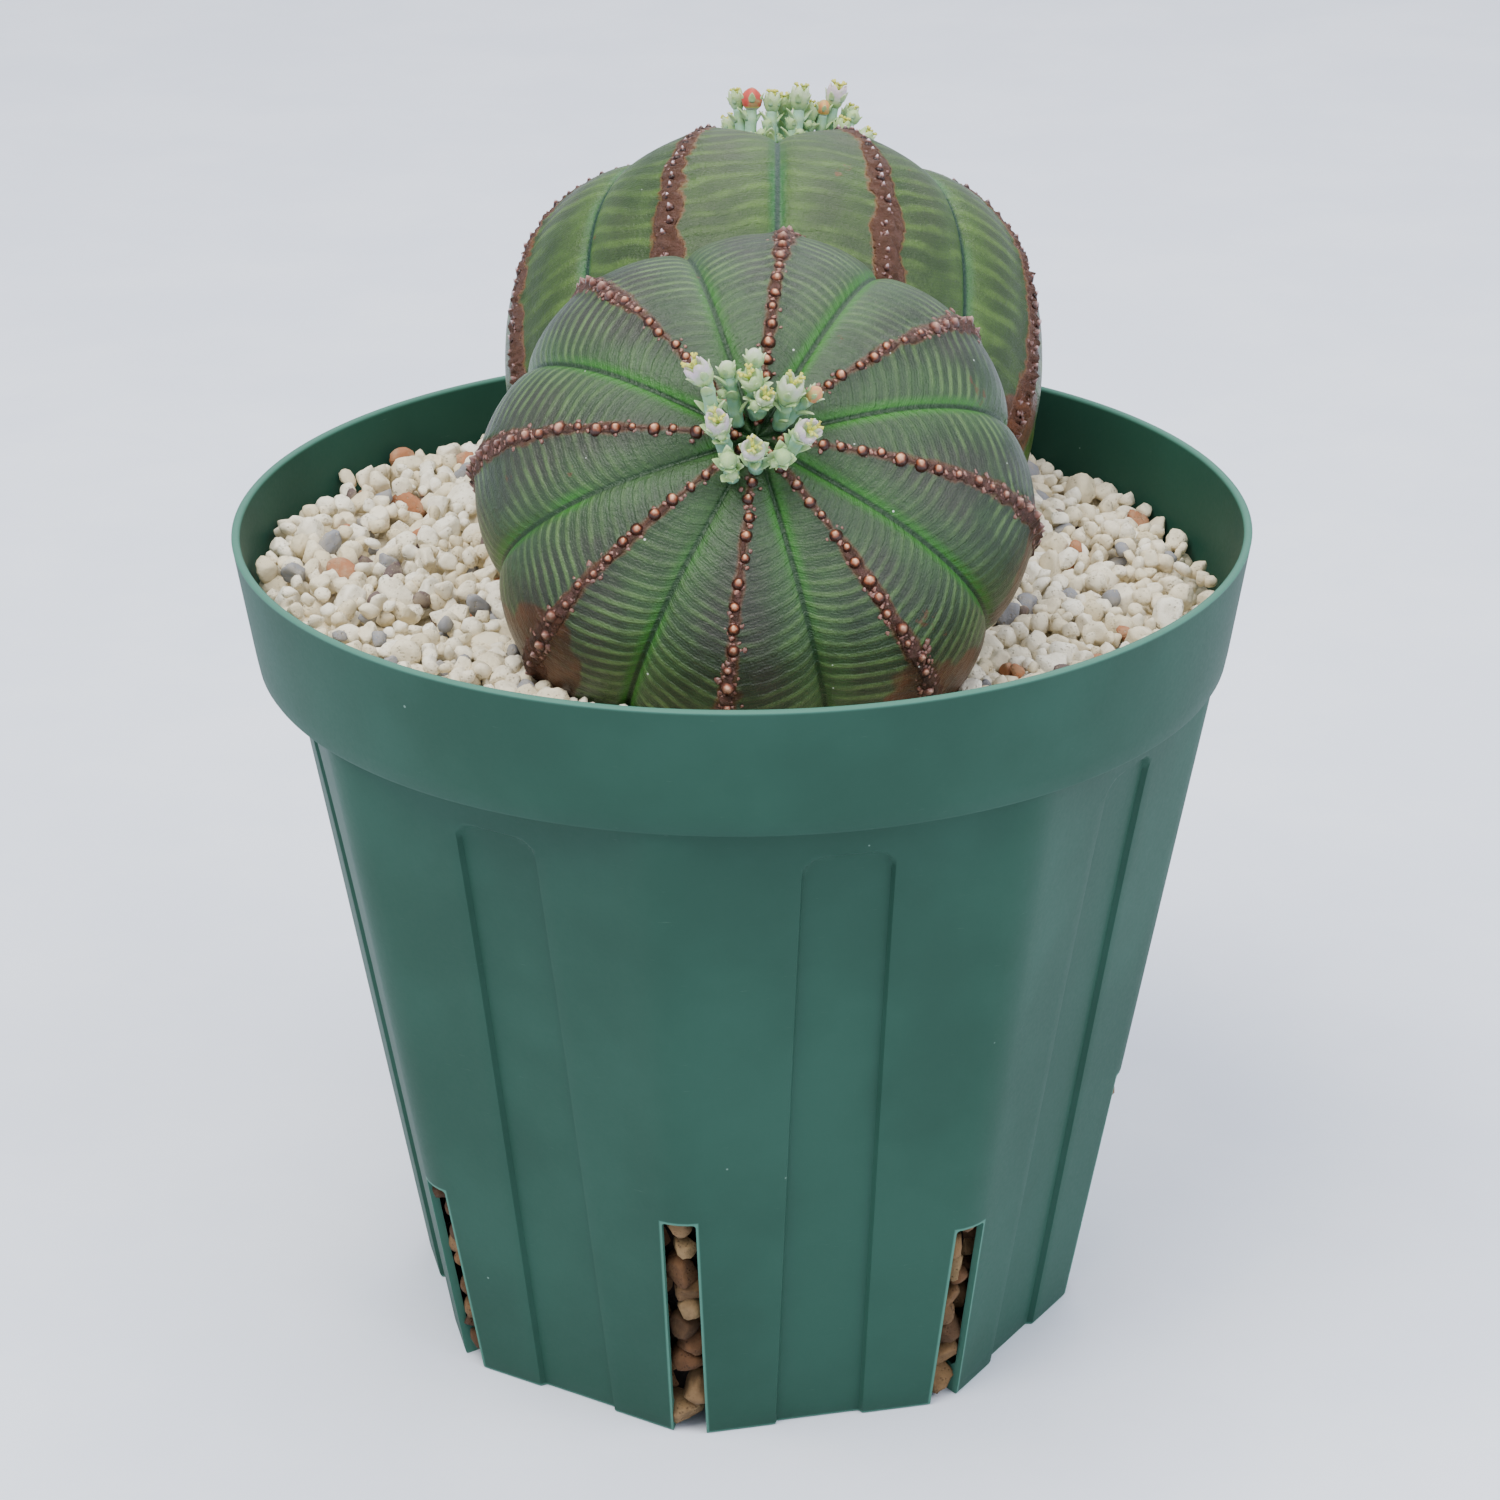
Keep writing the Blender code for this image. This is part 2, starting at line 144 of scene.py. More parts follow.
class Kind(Enum):
    """The nodes that the finishes and the scatter tree are made of."""

    PLUS = sum_of("ADD")
    MINUS = sum_of("SUBTRACT")
    TIMES = sum_of("MULTIPLY")
    OVER = sum_of("DIVIDE")
    LEAST = sum_of("MINIMUM")
    MOST = sum_of("MAXIMUM")
    POWER = sum_of("POWER")
    ROOT = sum_of("SQRT")
    UNSIGNED = sum_of("ABSOLUTE")
    ROUND = sum_of("ROUND")
    MODULO = sum_of("MODULO")
    PINGPONG = sum_of("PINGPONG")
    ANGLE = sum_of("ARCTAN2")
    ABOVE = sum_of("GREATER_THAN")
    EASE = NodeKind("ShaderNodeMapRange", settings=(("interpolation_type", "SMOOTHSTEP"),))
    MIX = NodeKind("ShaderNodeMix", (0, 6, 7), 2,
                   (("data_type", "RGBA"), ("clamp_factor", True)))
    RAMP = NodeKind("ShaderNodeValToRGB")
    READ = NodeKind("ShaderNodeAttribute", output="Fac")
    PLACE = NodeKind("ShaderNodeTexCoord", output="Object")
    TURN = NodeKind("ShaderNodeMapping", ("Vector", "Rotation", "Scale"))
    SPLIT = NodeKind("ShaderNodeSeparateXYZ")
    JOIN = NodeKind("ShaderNodeCombineXYZ", (2,))
    CHANNELS = NodeKind("ShaderNodeSeparateColor")
    NOISE = NodeKind("ShaderNodeTexNoise", ("Vector", "Scale", "Detail", "Roughness"))
    CELLS = NodeKind("ShaderNodeTexVoronoi", ("Vector", "Scale"))
    BUMP = NodeKind("ShaderNodeBump", ("Height", "Distance", "Normal"))
    GROUP_INPUT = NodeKind("NodeGroupInput")
    GROUP_OUTPUT = NodeKind("NodeGroupOutput", ("Result",), None)
    VARIANTS = NodeKind("GeometryNodeCollectionInfo",
                        ("Collection", "Separate Children", "Reset Children"))
    NAMED = NodeKind("GeometryNodeInputNamedAttribute", ("Name",))
    RANDOM = NodeKind("FunctionNodeRandomValue", ("Min", "Max", "Seed"), "Value",
                      (("data_type", "FLOAT"),))
    COPIES = NodeKind("GeometryNodeInstanceOnPoints",
                      ("Points", "Instance", "Pick Instance", "Instance Index", "Rotation",
                       "Scale"))
    SPIN = NodeKind("GeometryNodeRotateInstances", ("Instances", "Rotation"))
    REALIZE = NodeKind("GeometryNodeRealizeInstances", ("Geometry",))
    FINISH = NodeKind("GeometryNodeSetMaterial", ("Geometry", "Material"))


def srgb(code: str) -> tuple[float, float, float, float]:
    """Convert a colour from sRGB hex to linear light.

    Args:
        code: six hex digits with a leading hash.

    Returns:
        Linear red, green and blue with alpha 1.
    """
    parts = [int(code[i:i + 2], 16) / 255.0 for i in (1, 3, 5)]
    linear = [p / 12.92 if p <= 0.04045 else ((p + 0.055) / 1.055) ** 2.4 for p in parts]
    return (linear[0], linear[1], linear[2], 1.0)


def feed(node: bpy.types.Node, values: dict) -> None:
    """Set or link inputs of a node.

    Args:
        node: the node.
        values: input name or index to a value or to a socket to link from.
    """
    for key, value in values.items():
        if isinstance(value, Socket):
            node.id_data.links.new(value, node.inputs[key])
        else:
            node.inputs[key].default_value = value


def add(tree: bpy.types.NodeTree, kind: Kind, *values: object,
        **settings: object) -> Socket | None:
    """Add one node with its settings and links.

    Args:
        tree: node tree to add to.
        kind: the node's kind.
        *values: a value or a socket for each of the kind's inputs, in order.
        **settings: node properties beside the kind's own.

    Returns:
        The kind's output socket, or None where it has none.
    """
    node = tree.nodes.new(kind.value.type)
    for name, value in (*kind.value.settings, *settings.items()):
        setattr(node, name, value)
    feed(node, dict(zip(kind.value.inputs, values)))
    return None if kind.value.output is None else node.outputs[kind.value.output]


def lumps(size_mm: float) -> float:
    """Texture scale at which one lump or cell has a real size in millimetres."""
    return 1000.0 / size_mm


def with_stops(coloured: Socket, colours: tuple[tuple[float, str], ...]) -> Socket:
    """Give a colour ramp its stops.

    Args:
        coloured: the ramp's output.
        colours: position and hex colour of each stop.

    Returns:
        The same output.
    """
    band = coloured.node.color_ramp
    while len(band.elements) < len(colours):
        band.elements.new(0.5)
    for element, (place, code) in zip(band.elements, colours):
        element.position = place
        element.color = srgb(code)
    return coloured


def specks(put: Put, where: Socket, spacing_mm: float, size: float) -> Socket:
    """Sparse round dots.

    Args:
        put: adds a node to the material.
        where: object coordinates.
        spacing_mm: mean distance between dots in millimetres.
        size: dot radius as a share of the spacing.

    Returns:
        A mask, 1 inside a dot.
    """
    cells = put(Kind.CELLS, where, lumps(spacing_mm)).node.outputs
    dot = put(Kind.EASE, cells["Distance"], size, size * 0.6)
    return put(Kind.TIMES, dot, put(Kind.ABOVE, put(Kind.CHANNELS, cells["Color"]), 0.55))


def new_material(name: str) -> tuple[bpy.types.Material, Put, bpy.types.Node]:
    """Make a material with an empty Principled shader.

    Args:
        name: material name.

    Returns:
        The material, a function that adds a node to it, and its shader.
    """
    mat = bpy.data.materials.new(name)
    mat.use_nodes = True
    return mat, partial(add, mat.node_tree), mat.node_tree.nodes["Principled BSDF"]


# Finishes


@dataclass(frozen=True)
class PotPlastic:
    """Injection-moulded green polypropylene: satin, with faint dust, rub marks and a painted
    highlight along its edges.
    """

    body: str = "#284D40"
    deep: str = "#224538"
    dust: str = "#7C9A8C"
    # colour of the painted highlight along the rim, the foot and the slit edges
    edge: str = "#5E9482"
    highlight_width: float = 0.5
    roughness: float = 0.53

    def material(self) -> bpy.types.Material:
        """Build the material.

        Returns:
            The pot's material.
        """
        mat, put, shader = new_material("pot_plastic")
        where = put(Kind.PLACE)
        cloud = put(Kind.NOISE, where, lumps(38.0), 4.0, 0.55)
        grain = put(Kind.NOISE, where, lumps(0.7), 2.0, 0.55)
        colour = put(Kind.MIX, put(Kind.EASE, cloud, 0.35, 0.65), srgb(self.deep), srgb(self.body))
        dust = srgb(self.dust)
        dots = put(Kind.TIMES, specks(put, where, 9.0, 0.03), 0.7)
        colour = put(Kind.MIX, dots, colour, dust)
        stretched = put(Kind.TURN, where, (0.25, 0.1, 0.0), (4.0, 4.0, 60.0))
        rub = put(Kind.EASE, put(Kind.NOISE, stretched, lumps(14.0), 5.0, 0.7), 0.66, 0.76)
        colour = put(Kind.MIX, put(Kind.TIMES, rub, 0.16), colour, dust)
        # painted highlight: a thin pale line along the rim, the foot and the slit edges
        pale = put(Kind.TIMES, self.edge_highlights(put, where), 0.5)
        colour = put(Kind.MIX, pale, colour, srgb(self.edge))
        rough = put(Kind.PLUS, self.roughness, put(Kind.TIMES, grain, 0.14))
        feed(shader, {"Base Color": colour, "Roughness": rough, "Specular IOR Level": 0.16,
                      "Normal": put(Kind.BUMP, grain, 0.012 * MM)})
        return mat

    def edge_highlights(self, put: Put, where: Socket) -> Socket:
        """Mask of the painted highlight: a thin pale line along the rim, the foot and the slits.

        Args:
            put: adds a node to the material.
            where: object coordinates.

        Returns:
            A mask.
        """
        x, y, z = put(Kind.SPLIT, where).node.outputs
        thin = self.highlight_width * MM
        lip = put(Kind.EASE, z, POT_H * MM - thin * 1.4, POT_H * MM - thin * 0.4)
        foot = put(Kind.EASE, z, thin * 1.2, thin * 0.4)

        # Corners are counted from azimuth; the count is kept above zero for the remainder
        turn = put(Kind.ANGLE, x, put(Kind.TIMES, y, -1.0))
        sector = put(Kind.OVER, put(Kind.MINUS, turn, CORNER_AZ - TAU), TAU / SIDES)
        corner = put(Kind.ROUND, sector)
        off = put(Kind.UNSIGNED, put(Kind.MINUS, sector, corner))
        reach = put(Kind.ROOT, put(Kind.PLUS, put(Kind.TIMES, x, x), put(Kind.TIMES, y, y)))
        across = put(Kind.TIMES, put(Kind.TIMES, off, TAU / SIDES), reach)
        drop = put(Kind.TIMES, put(Kind.MODULO, corner, 2.0), (SLIT_TOPS[1] - SLIT_TOPS[0]) * MM)
        above = put(Kind.MINUS, z, put(Kind.PLUS, SLIT_TOPS[0] * MM, drop))
        beside = put(Kind.MINUS, across, SLIT_WIDTH / 2 * MM)
        slit = put(Kind.EASE, put(Kind.MOST, beside, above), thin, thin * 0.4)
        return put(Kind.MOST, put(Kind.MOST, lip, slit), foot)


@dataclass(frozen=True)
class GrainStone:
    """Loose porous stone: dull, coloured by each grain's own tint, with stains and open pores
    darkened as painted shade.
    """

    name: str
    stops: tuple[tuple[float, str], ...]
    # colour of the stains, and of the painted shade in the open pores
    stain_and_pore_shade: str
    roughness: float = 0.92
    pore_mm: float = 0.55

    def material(self) -> bpy.types.Material:
        """Build the material.

        Returns:
            The grains' material.
        """
        mat, put, shader = new_material(self.name)
        where = put(Kind.PLACE)
        stain_and_pore_shade = srgb(self.stain_and_pore_shade)
        colour = with_stops(put(Kind.RAMP, put(Kind.READ, attribute_name="tint")), self.stops)
        cloud = put(Kind.NOISE, where, lumps(2.4), 4.0, 0.55)
        stain = put(Kind.TIMES, put(Kind.EASE, cloud, 0.42, 0.66), 0.35)
        colour = put(Kind.MIX, stain, colour, stain_and_pore_shade)
        cells = put(Kind.CELLS, where, lumps(self.pore_mm)).node.outputs
        open_at = put(Kind.EASE, put(Kind.NOISE, where, lumps(1.6), 3.0, 0.55), 0.45, 0.6)
        pit = put(Kind.TIMES, put(Kind.EASE, cells["Distance"], 0.42, 0.12), open_at)
        # painted shade: the open pores are darkened towards the pore colour
        colour = put(Kind.MIX, put(Kind.TIMES, pit, 0.5), colour, stain_and_pore_shade)
        normal = put(Kind.BUMP, put(Kind.NOISE, where, lumps(0.5), 5.0, 0.65), 0.16 * MM)
        normal = put(Kind.BUMP, put(Kind.MINUS, 1.0, pit), 0.12 * MM, normal)
        feed(shader, {"Base Color": colour, "Roughness": self.roughness,
                      "Specular IOR Level": 0.25, "Normal": normal})
        return mat


@dataclass(frozen=True)
class SkinField:
    """The sockets that every layer of a stem's skin reads."""

    put: Put
    where: Socket
    along: Socket
    across: Socket
    gap: Socket
    age: Socket
    cloud: Socket
    patch: Socket
    grain: Socket

    @classmethod
    def read(cls, put: Put) -> "SkinField":
        """Read the skin's attributes and its three sizes of mottling.

        Args:
            put: adds a node to the material.

        Returns:
            The field.
        """
        where = put(Kind.PLACE)
        along, across, gap, age = (put(Kind.READ, attribute_name=name)
                                   for name in ("along", "across", "gap", "age"))
        return cls(put, where, along, across, gap, age,
                   put(Kind.NOISE, where, lumps(16.0), 3.0, 0.55),
                   put(Kind.NOISE, where, lumps(5.0), 4.0, 0.6),
                   put(Kind.NOISE, where, lumps(0.6), 4.0, 0.65))

    def mottle(self, size_mm: float, detail: float, rough: float, low: float,
               high: float) -> Socket:
        """Patches of a real size with soft edges.

        Args:
            size_mm: size of the largest lumps in millimetres.
            detail: number of finer layers.
            rough: strength of the finer layers.
            low: noise level where the patches begin.
            high: noise level where they are full.

        Returns:
            A mask.
        """
        return self.put(Kind.EASE, self.put(Kind.NOISE, self.where, lumps(size_mm), detail, rough),
                        low, high)


@dataclass(frozen=True)
class StemSkin:
    """Living waxy succulent skin: green faces, pale bands, vivid furrows and corky ribs."""

    name: str
    dark: str
    green: str
    purple: str
    band: str
    furrow: str
    furrow_line: str
    cork: str
    cork_edge: str
    crust: str
    spacing: float
    cork_width: float
    cork_growth: float
    band_strength: float
    purple_share: float
    brown_from: float
    slant: float = 0.22
    speck: str = "#DCE4DA"

    def material(self) -> bpy.types.Material:
        """Build the material.

        Returns:
            The skin's material.
        """
        mat, put, shader = new_material(self.name)
        field_of = SkinField.read(put)
        rise = put(Kind.PLUS, field_of.along, put(Kind.TIMES, field_of.across, self.slant))
        skin, line = self.banded(field_of, rise, self.ground(field_of))
        skin, crease = self.creased(field_of, rise, skin)
        skin, cork = self.corked(field_of, self.furrowed(field_of, skin))
        skin = self.aged(field_of, skin)
        normal = put(Kind.BUMP, field_of.grain, 0.2 * MM)
        normal = put(Kind.BUMP, put(Kind.MINUS, 1.0, crease), 0.05 * MM, normal)
        normal = put(Kind.BUMP, line, 0.06 * MM, normal)
        scab = put(Kind.NOISE, field_of.where, lumps(0.8), 5.0, 0.75)
        normal = put(Kind.BUMP, put(Kind.TIMES, scab, cork), 0.7 * MM, normal)
        rough = put(Kind.PLUS, 0.37, put(Kind.TIMES, cork, 0.12))
        feed(shader, {"Base Color": skin, "Roughness": rough, "Specular IOR Level": 0.42,
                      "Normal": normal})
        return mat

    def ground(self, f: SkinField) -> Socket:
        """Ground colour: purple-grey near the tip and the ribs, greener by the furrows.

        Args:
            f: the skin's field.

        Returns:
            The colour.
        """
        put = f.put
        near_furrow = put(Kind.EASE, f.gap, 7.5, 1.5)
        patchy = put(Kind.TIMES, put(Kind.EASE, f.patch, 0.4, 0.65), 0.45)
        share = put(Kind.PLUS, put(Kind.TIMES, near_furrow, 0.55), patchy)
        colour = put(Kind.MIX, share, srgb(self.dark), srgb(self.green))
        flush = put(Kind.TIMES, put(Kind.EASE, f.cloud, 0.4, 0.6),
                    put(Kind.MINUS, 1.0, near_furrow))
        young = put(Kind.TIMES, self.purple_share, put(Kind.EASE, f.age, 1.0, 0.45))
        return put(Kind.MIX, put(Kind.TIMES, flush, young), colour, srgb(self.purple))

    def banded(self, f: SkinField, rise: Socket, skin: Socket) -> tuple[Socket, Socket]:
        """Add pale bands across each face, slanted from rib to furrow.

        Args:
            f: the skin's field.
            rise: distance from the tip, slanted.
            skin: the colour so far.

        Returns:
            The colour and the mask of the bands.
        """
        put = f.put
        wander = put(Kind.MINUS, put(Kind.NOISE, f.where, lumps(9.0), 1.0, 0.55), 0.5)
        wander = put(Kind.TIMES, wander, self.spacing * 1.1)
        wave = put(Kind.PINGPONG, put(Kind.OVER, put(Kind.PLUS, rise, wander), self.spacing), 0.5)
        uneven = put(Kind.TIMES, put(Kind.MINUS, f.grain, 0.5), 0.22)
        line = put(Kind.EASE, put(Kind.PLUS, wave, uneven), 0.2, 0.42)
        broken = put(Kind.PLUS, 0.4, put(Kind.TIMES, 0.6, f.mottle(4.5, 2.0, 0.55, 0.35, 0.6)))
        fade = put(Kind.TIMES, broken, f.mottle(11.0, 2.0, 0.55, 0.3, 0.6))
        fade = put(Kind.TIMES, fade, put(Kind.EASE, f.age, 0.12, 0.5))
        bands = put(Kind.TIMES, put(Kind.TIMES, line, fade), self.band_strength)
        skin = put(Kind.MIX, bands, skin, srgb(self.band))
        shade = put(Kind.TIMES, put(Kind.EASE, wave, 0.16, 0.0), 0.2)
        return put(Kind.MIX, shade, skin, srgb(self.dark)), line

    def creased(self, f: SkinField, rise: Socket, skin: Socket) -> tuple[Socket, Socket]:
        """Add fine creases that follow the bands, and darker pores.

        Args:
            f: the skin's field.
            rise: distance from the tip, slanted.
            skin: the colour so far.

        Returns:
            The colour and the creases' height.
        """
        put = f.put
        wander = put(Kind.TIMES, put(Kind.NOISE, f.where, lumps(1.4), 3.0, 0.55), 1.1)
        crease = put(Kind.PINGPONG, put(Kind.TIMES, put(Kind.PLUS, rise, wander), 2.1), 0.5)
        pale = put(Kind.TIMES, put(Kind.EASE, crease, 0.1, 0.45), 0.06)
        skin = put(Kind.MIX, pale, skin, srgb(self.band))
        pores = put(Kind.TIMES, put(Kind.EASE, f.grain, 0.4, 0.7), 0.35)
        return put(Kind.MIX, pores, skin, srgb(self.dark)), crease

    def furrowed(self, f: SkinField, skin: Socket) -> Socket:
        """Add the vivid strip in each furrow, with a dark line at its bottom.

        Args:
            f: the skin's field.
            skin: the colour so far.

        Returns:
            The colour.
        """
        put = f.put
        strip = put(Kind.EASE, put(Kind.PLUS, f.gap, put(Kind.TIMES, f.patch, 0.8)), 2.3, 0.9)
        strip = put(Kind.TIMES, strip, f.mottle(14.0, 1.0, 0.55, 0.3, 0.6))
        strip = put(Kind.TIMES, strip, put(Kind.EASE, f.age, 1.05, 0.75))
        skin = put(Kind.MIX, strip, skin, srgb(self.furrow))
        return put(Kind.MIX, put(Kind.EASE, f.gap, 0.62, 0.2), skin, srgb(self.furrow_line))

    def corked(self, f: SkinField, skin: Socket) -> tuple[Socket, Socket]:
        """Add cork along each rib, wider lower down, with ragged edges.

        Args:
            f: the skin's field.
            skin: the colour so far.

        Returns:
            The colour and the mask of the cork.
        """
        put = f.put
        width = put(Kind.TIMES, put(Kind.POWER, f.age, 2.0), self.cork_growth)
        width = put(Kind.PLUS, self.cork_width, width)
        ragged = put(Kind.TIMES, put(Kind.MINUS, f.patch, 0.5), 4.5)
        ragged = put(Kind.TIMES, ragged, put(Kind.PLUS, 0.25, f.age))
        reach = put(Kind.MINUS, put(Kind.PLUS, width, ragged), f.across)
        born = put(Kind.EASE, f.age, 0.02, 0.075)
        edge = put(Kind.TIMES, put(Kind.EASE, reach, -0.45, 0.15), born)
        cork = put(Kind.TIMES, put(Kind.EASE, reach, 0.0, 0.5), born)
        brown = put(Kind.MIX, f.mottle(1.1, 4.0, 0.7, 0.35, 0.65), srgb(self.cork),
                    srgb(self.crust))
        skin = put(Kind.MIX, put(Kind.TIMES, edge, 0.75), skin, srgb(self.cork_edge))
        return put(Kind.MIX, put(Kind.TIMES, cork, 0.85), skin, brown), cork

    def aged(self, f: SkinField, skin: Socket) -> Socket:
        """Add old brown skin low on the ball beside the ribs, scars and white specks.

        Args:
            f: the skin's field.
            skin: the colour so far.

        Returns:
            The colour.
        """
        put = f.put
        low = put(Kind.PLUS, put(Kind.LEAST, f.age, 0.8),
                  put(Kind.TIMES, put(Kind.MINUS, f.cloud, 0.5), 0.9))
        low = put(Kind.MINUS, low, put(Kind.TIMES, f.across, 0.03))
        height = put(Kind.SPLIT, f.where).node.outputs[2]
        low = put(Kind.PLUS, low, put(Kind.TIMES, 0.27, put(Kind.EASE, height, 0.146, 0.122)))
        low = put(Kind.EASE, low, self.brown_from, self.brown_from + 0.05)
        brown = put(Kind.MIX, put(Kind.EASE, f.patch, 0.35, 0.65), srgb(self.cork),
                    srgb(self.cork_edge))
        skin = put(Kind.MIX, put(Kind.TIMES, low, 0.9), skin, brown)
        scar = put(Kind.TIMES, f.mottle(8.5, 5.0, 0.7, 0.66, 0.7), 0.7)
        skin = put(Kind.MIX, scar, skin, srgb(self.cork_edge))
        dots = put(Kind.TIMES, specks(put, f.where, 4.2, 0.045), 0.8)
        return put(Kind.MIX, dots, skin, srgb(self.speck))


@dataclass(frozen=True)
class BeadHorn:
    """Small horny cones on the ribs: smooth, with a dark brown foot and a tan or pale tip."""

    name: str
    tip: str
    middle: str
    foot: str
    worn: tuple[str, str, str] = ("#3A2018", "#5E3A30", "#9C7B75")

    def material(self) -> bpy.types.Material:
        """Build the material.

        Returns:
            The beads' material.
        """
        mat, put, shader = new_material(self.name)
        where = put(Kind.PLACE)
        uneven = put(Kind.MINUS, put(Kind.NOISE, where, lumps(0.7), 3.0, 0.55), 0.5)
        level = put(Kind.PLUS, put(Kind.READ, attribute_name="level"),
                    put(Kind.TIMES, uneven, 0.5))
        colour = with_stops(put(Kind.RAMP, level), ((0.0, self.foot), (0.34, self.foot),
                                               (0.58, self.middle), (0.9, self.tip)))
        worn = with_stops(put(Kind.RAMP, level), tuple(zip((0.0, 0.45, 1.0), self.worn)))
        colour = put(Kind.MIX, put(Kind.READ, attribute_name="tint"), colour, worn)
        fine = put(Kind.NOISE, where, lumps(0.35), 3.0, 0.55)
        feed(shader, {"Base Color": colour, "Roughness": 0.3, "Specular IOR Level": 0.4,
                      "Normal": put(Kind.BUMP, fine, 0.05 * MM)})
        return mat


@dataclass(frozen=True)
class BloomFlesh:
    """Soft, powdery flower tissue, its colour read along a ramp of flower parts."""

    name: str = "flower_flesh"
    powder: str = "#8DAE6E"
    parts: tuple[tuple[float, str], ...] = (
        (0.0, "#6E9C80"), (0.14, "#8FB79C"), (0.3, "#A3BD80"), (0.45, "#BCC9A8"),
        (0.6, "#C3B5BE"), (0.68, "#BFAFB6"), (0.76, "#C9CE55"), (0.88, "#CF7F5E"),
        (1.0, "#B8443A"))

    def material(self) -> bpy.types.Material:
        """Build the material.

        Returns:
            The sprays' material.
        """
        mat, put, shader = new_material(self.name)
        where = put(Kind.PLACE)
        colour = with_stops(put(Kind.RAMP, put(Kind.READ, attribute_name="hue")), self.parts)
        dusted = put(Kind.EASE, put(Kind.NOISE, where, lumps(1.6), 3.0, 0.55), 0.42, 0.66)
        colour = put(Kind.MIX, put(Kind.TIMES, dusted, 0.5), colour, srgb(self.powder))
        fine = put(Kind.NOISE, where, lumps(0.4), 3.0, 0.55)
        feed(shader, {"Base Color": colour, "Roughness": 0.6, "Subsurface Weight": 0.25,
                      "Subsurface Scale": 0.6 * MM, "Subsurface Radius": (1.0, 0.9, 0.5),
                      "Specular IOR Level": 0.35, "Normal": put(Kind.BUMP, fine, 0.06 * MM)})
        return mat


# Mesh helpers


def mesh_of(name: str, points: np.ndarray, faces: list | np.ndarray,
            values: dict[str, np.ndarray] | None = None) -> bpy.types.Mesh:
    """Make a smooth mesh from points in millimetres.

    Args:
        name: mesh name.
        points: (n, 3) points in millimetres.
        faces: faces as lists of point numbers.
        values: attribute name to one number for each point.

    Returns:
        The mesh, in metres.
    """
    mesh = bpy.data.meshes.new(name)
    rows = faces.tolist() if isinstance(faces, np.ndarray) else faces
    mesh.from_pydata((np.asarray(points) * MM).tolist(), [], rows)
    for key, numbers in (values or {}).items():
        layer = mesh.attributes.new(key, "FLOAT", "POINT")
        layer.data.foreach_set("value", np.asarray(numbers, dtype=np.float32))
    mesh.polygons.foreach_set("use_smooth", [True] * len(mesh.polygons))
    mesh.update()
    return mesh


def outward(mesh: bpy.types.Mesh) -> bpy.types.Mesh:
    """Turn a closed mesh's faces outwards.

    Args:
        mesh: the mesh.

    Returns:
        The same mesh.
    """
    bm = bmesh.new()
    bm.from_mesh(mesh)
    bmesh.ops.recalc_face_normals(bm, faces=bm.faces[:])
    bm.to_mesh(mesh)
    bm.free()
    return mesh


def place_piece(name: str, mesh: bpy.types.Mesh, mat: bpy.types.Material,
                nodes: tuple[str, ...]) -> bpy.types.Object:
    """Add one piece of the object and tie it to the frame.

    Args:
        name: piece name.
        mesh: its mesh.
        mat: its material.
        nodes: CAD nodes it stands for.

    Returns:
        The piece.
    """
    obj = bpy.data.objects.new(name, mesh)
    bpy.context.scene.collection.objects.link(obj)
    mesh.materials.clear()
    mesh.materials.append(mat)
    mesh.polygons.foreach_set("material_index", [0] * len(mesh.polygons))
    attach(obj, "root")
    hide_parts(*nodes)
    log.info("%s: %d faces", name, len(mesh.polygons))
    return obj


def grid_faces(rows: int, columns: int) -> np.ndarray:
    """Faces of a grid of points stored row by row, its last column joined to the first.

    Args:
        rows: number of rows.
        columns: number of columns.

    Returns:
        (n, 4) point numbers.
    """
    r = np.arange(rows - 1)[:, None]
    c = np.arange(columns)[None, :]
    right = (c + 1) % columns
    low = r * columns
    high = (r + 1) * columns
    return np.stack([low + c, low + right, high + right, high + c], axis=-1).reshape(-1, 4)


def tube_faces(rows: int, columns: int) -> list[list[int]]:
    """Faces of a body made of rings, with a flat face at each end.

    Args:
        rows: number of rings.
        columns: points in each ring.

    Returns:
        Faces as lists of point numbers.
    """
    last = (rows - 1) * columns
    return [*grid_faces(rows, columns).tolist(), list(range(columns)),
            list(range(last, last + columns))]


def fanned_faces(rows: int, columns: int) -> list[list[int]]:
    """Faces of a body made of rings, its ends drawn to two points stored after them.

    Args:
        rows: number of rings.
        columns: points in each ring.

    Returns:
        Faces as lists of point numbers.
    """
    faces = grid_faces(rows, columns).tolist()
    first = rows * columns
    last = first - columns
    for c in range(columns):
        faces.append([(c + 1) % columns, c, first])
        faces.append([last + c, last + (c + 1) % columns, first + 1])
    return faces


def lump_mesh(name: str, bm: bmesh.types.BMesh,
              level: list[float] | None = None) -> bpy.types.Mesh:
    """Turn a small lump of about unit radius into a mesh of about a millimetre.

    Args:
        name: mesh name.
        bm: the lump, which is used up.
        level: how high each point lies, 0 at the foot and 1 at the top, if it is stored.

    Returns:
        The mesh.
    """
    mesh = bpy.data.meshes.new(name)
    bm.to_mesh(mesh)
    bm.free()
    mesh.transform(Matrix.Scale(MM, 4))
    if level is not None:
        mesh.attributes.new("level", "FLOAT", "POINT").data.foreach_set("value", level)
    return mesh


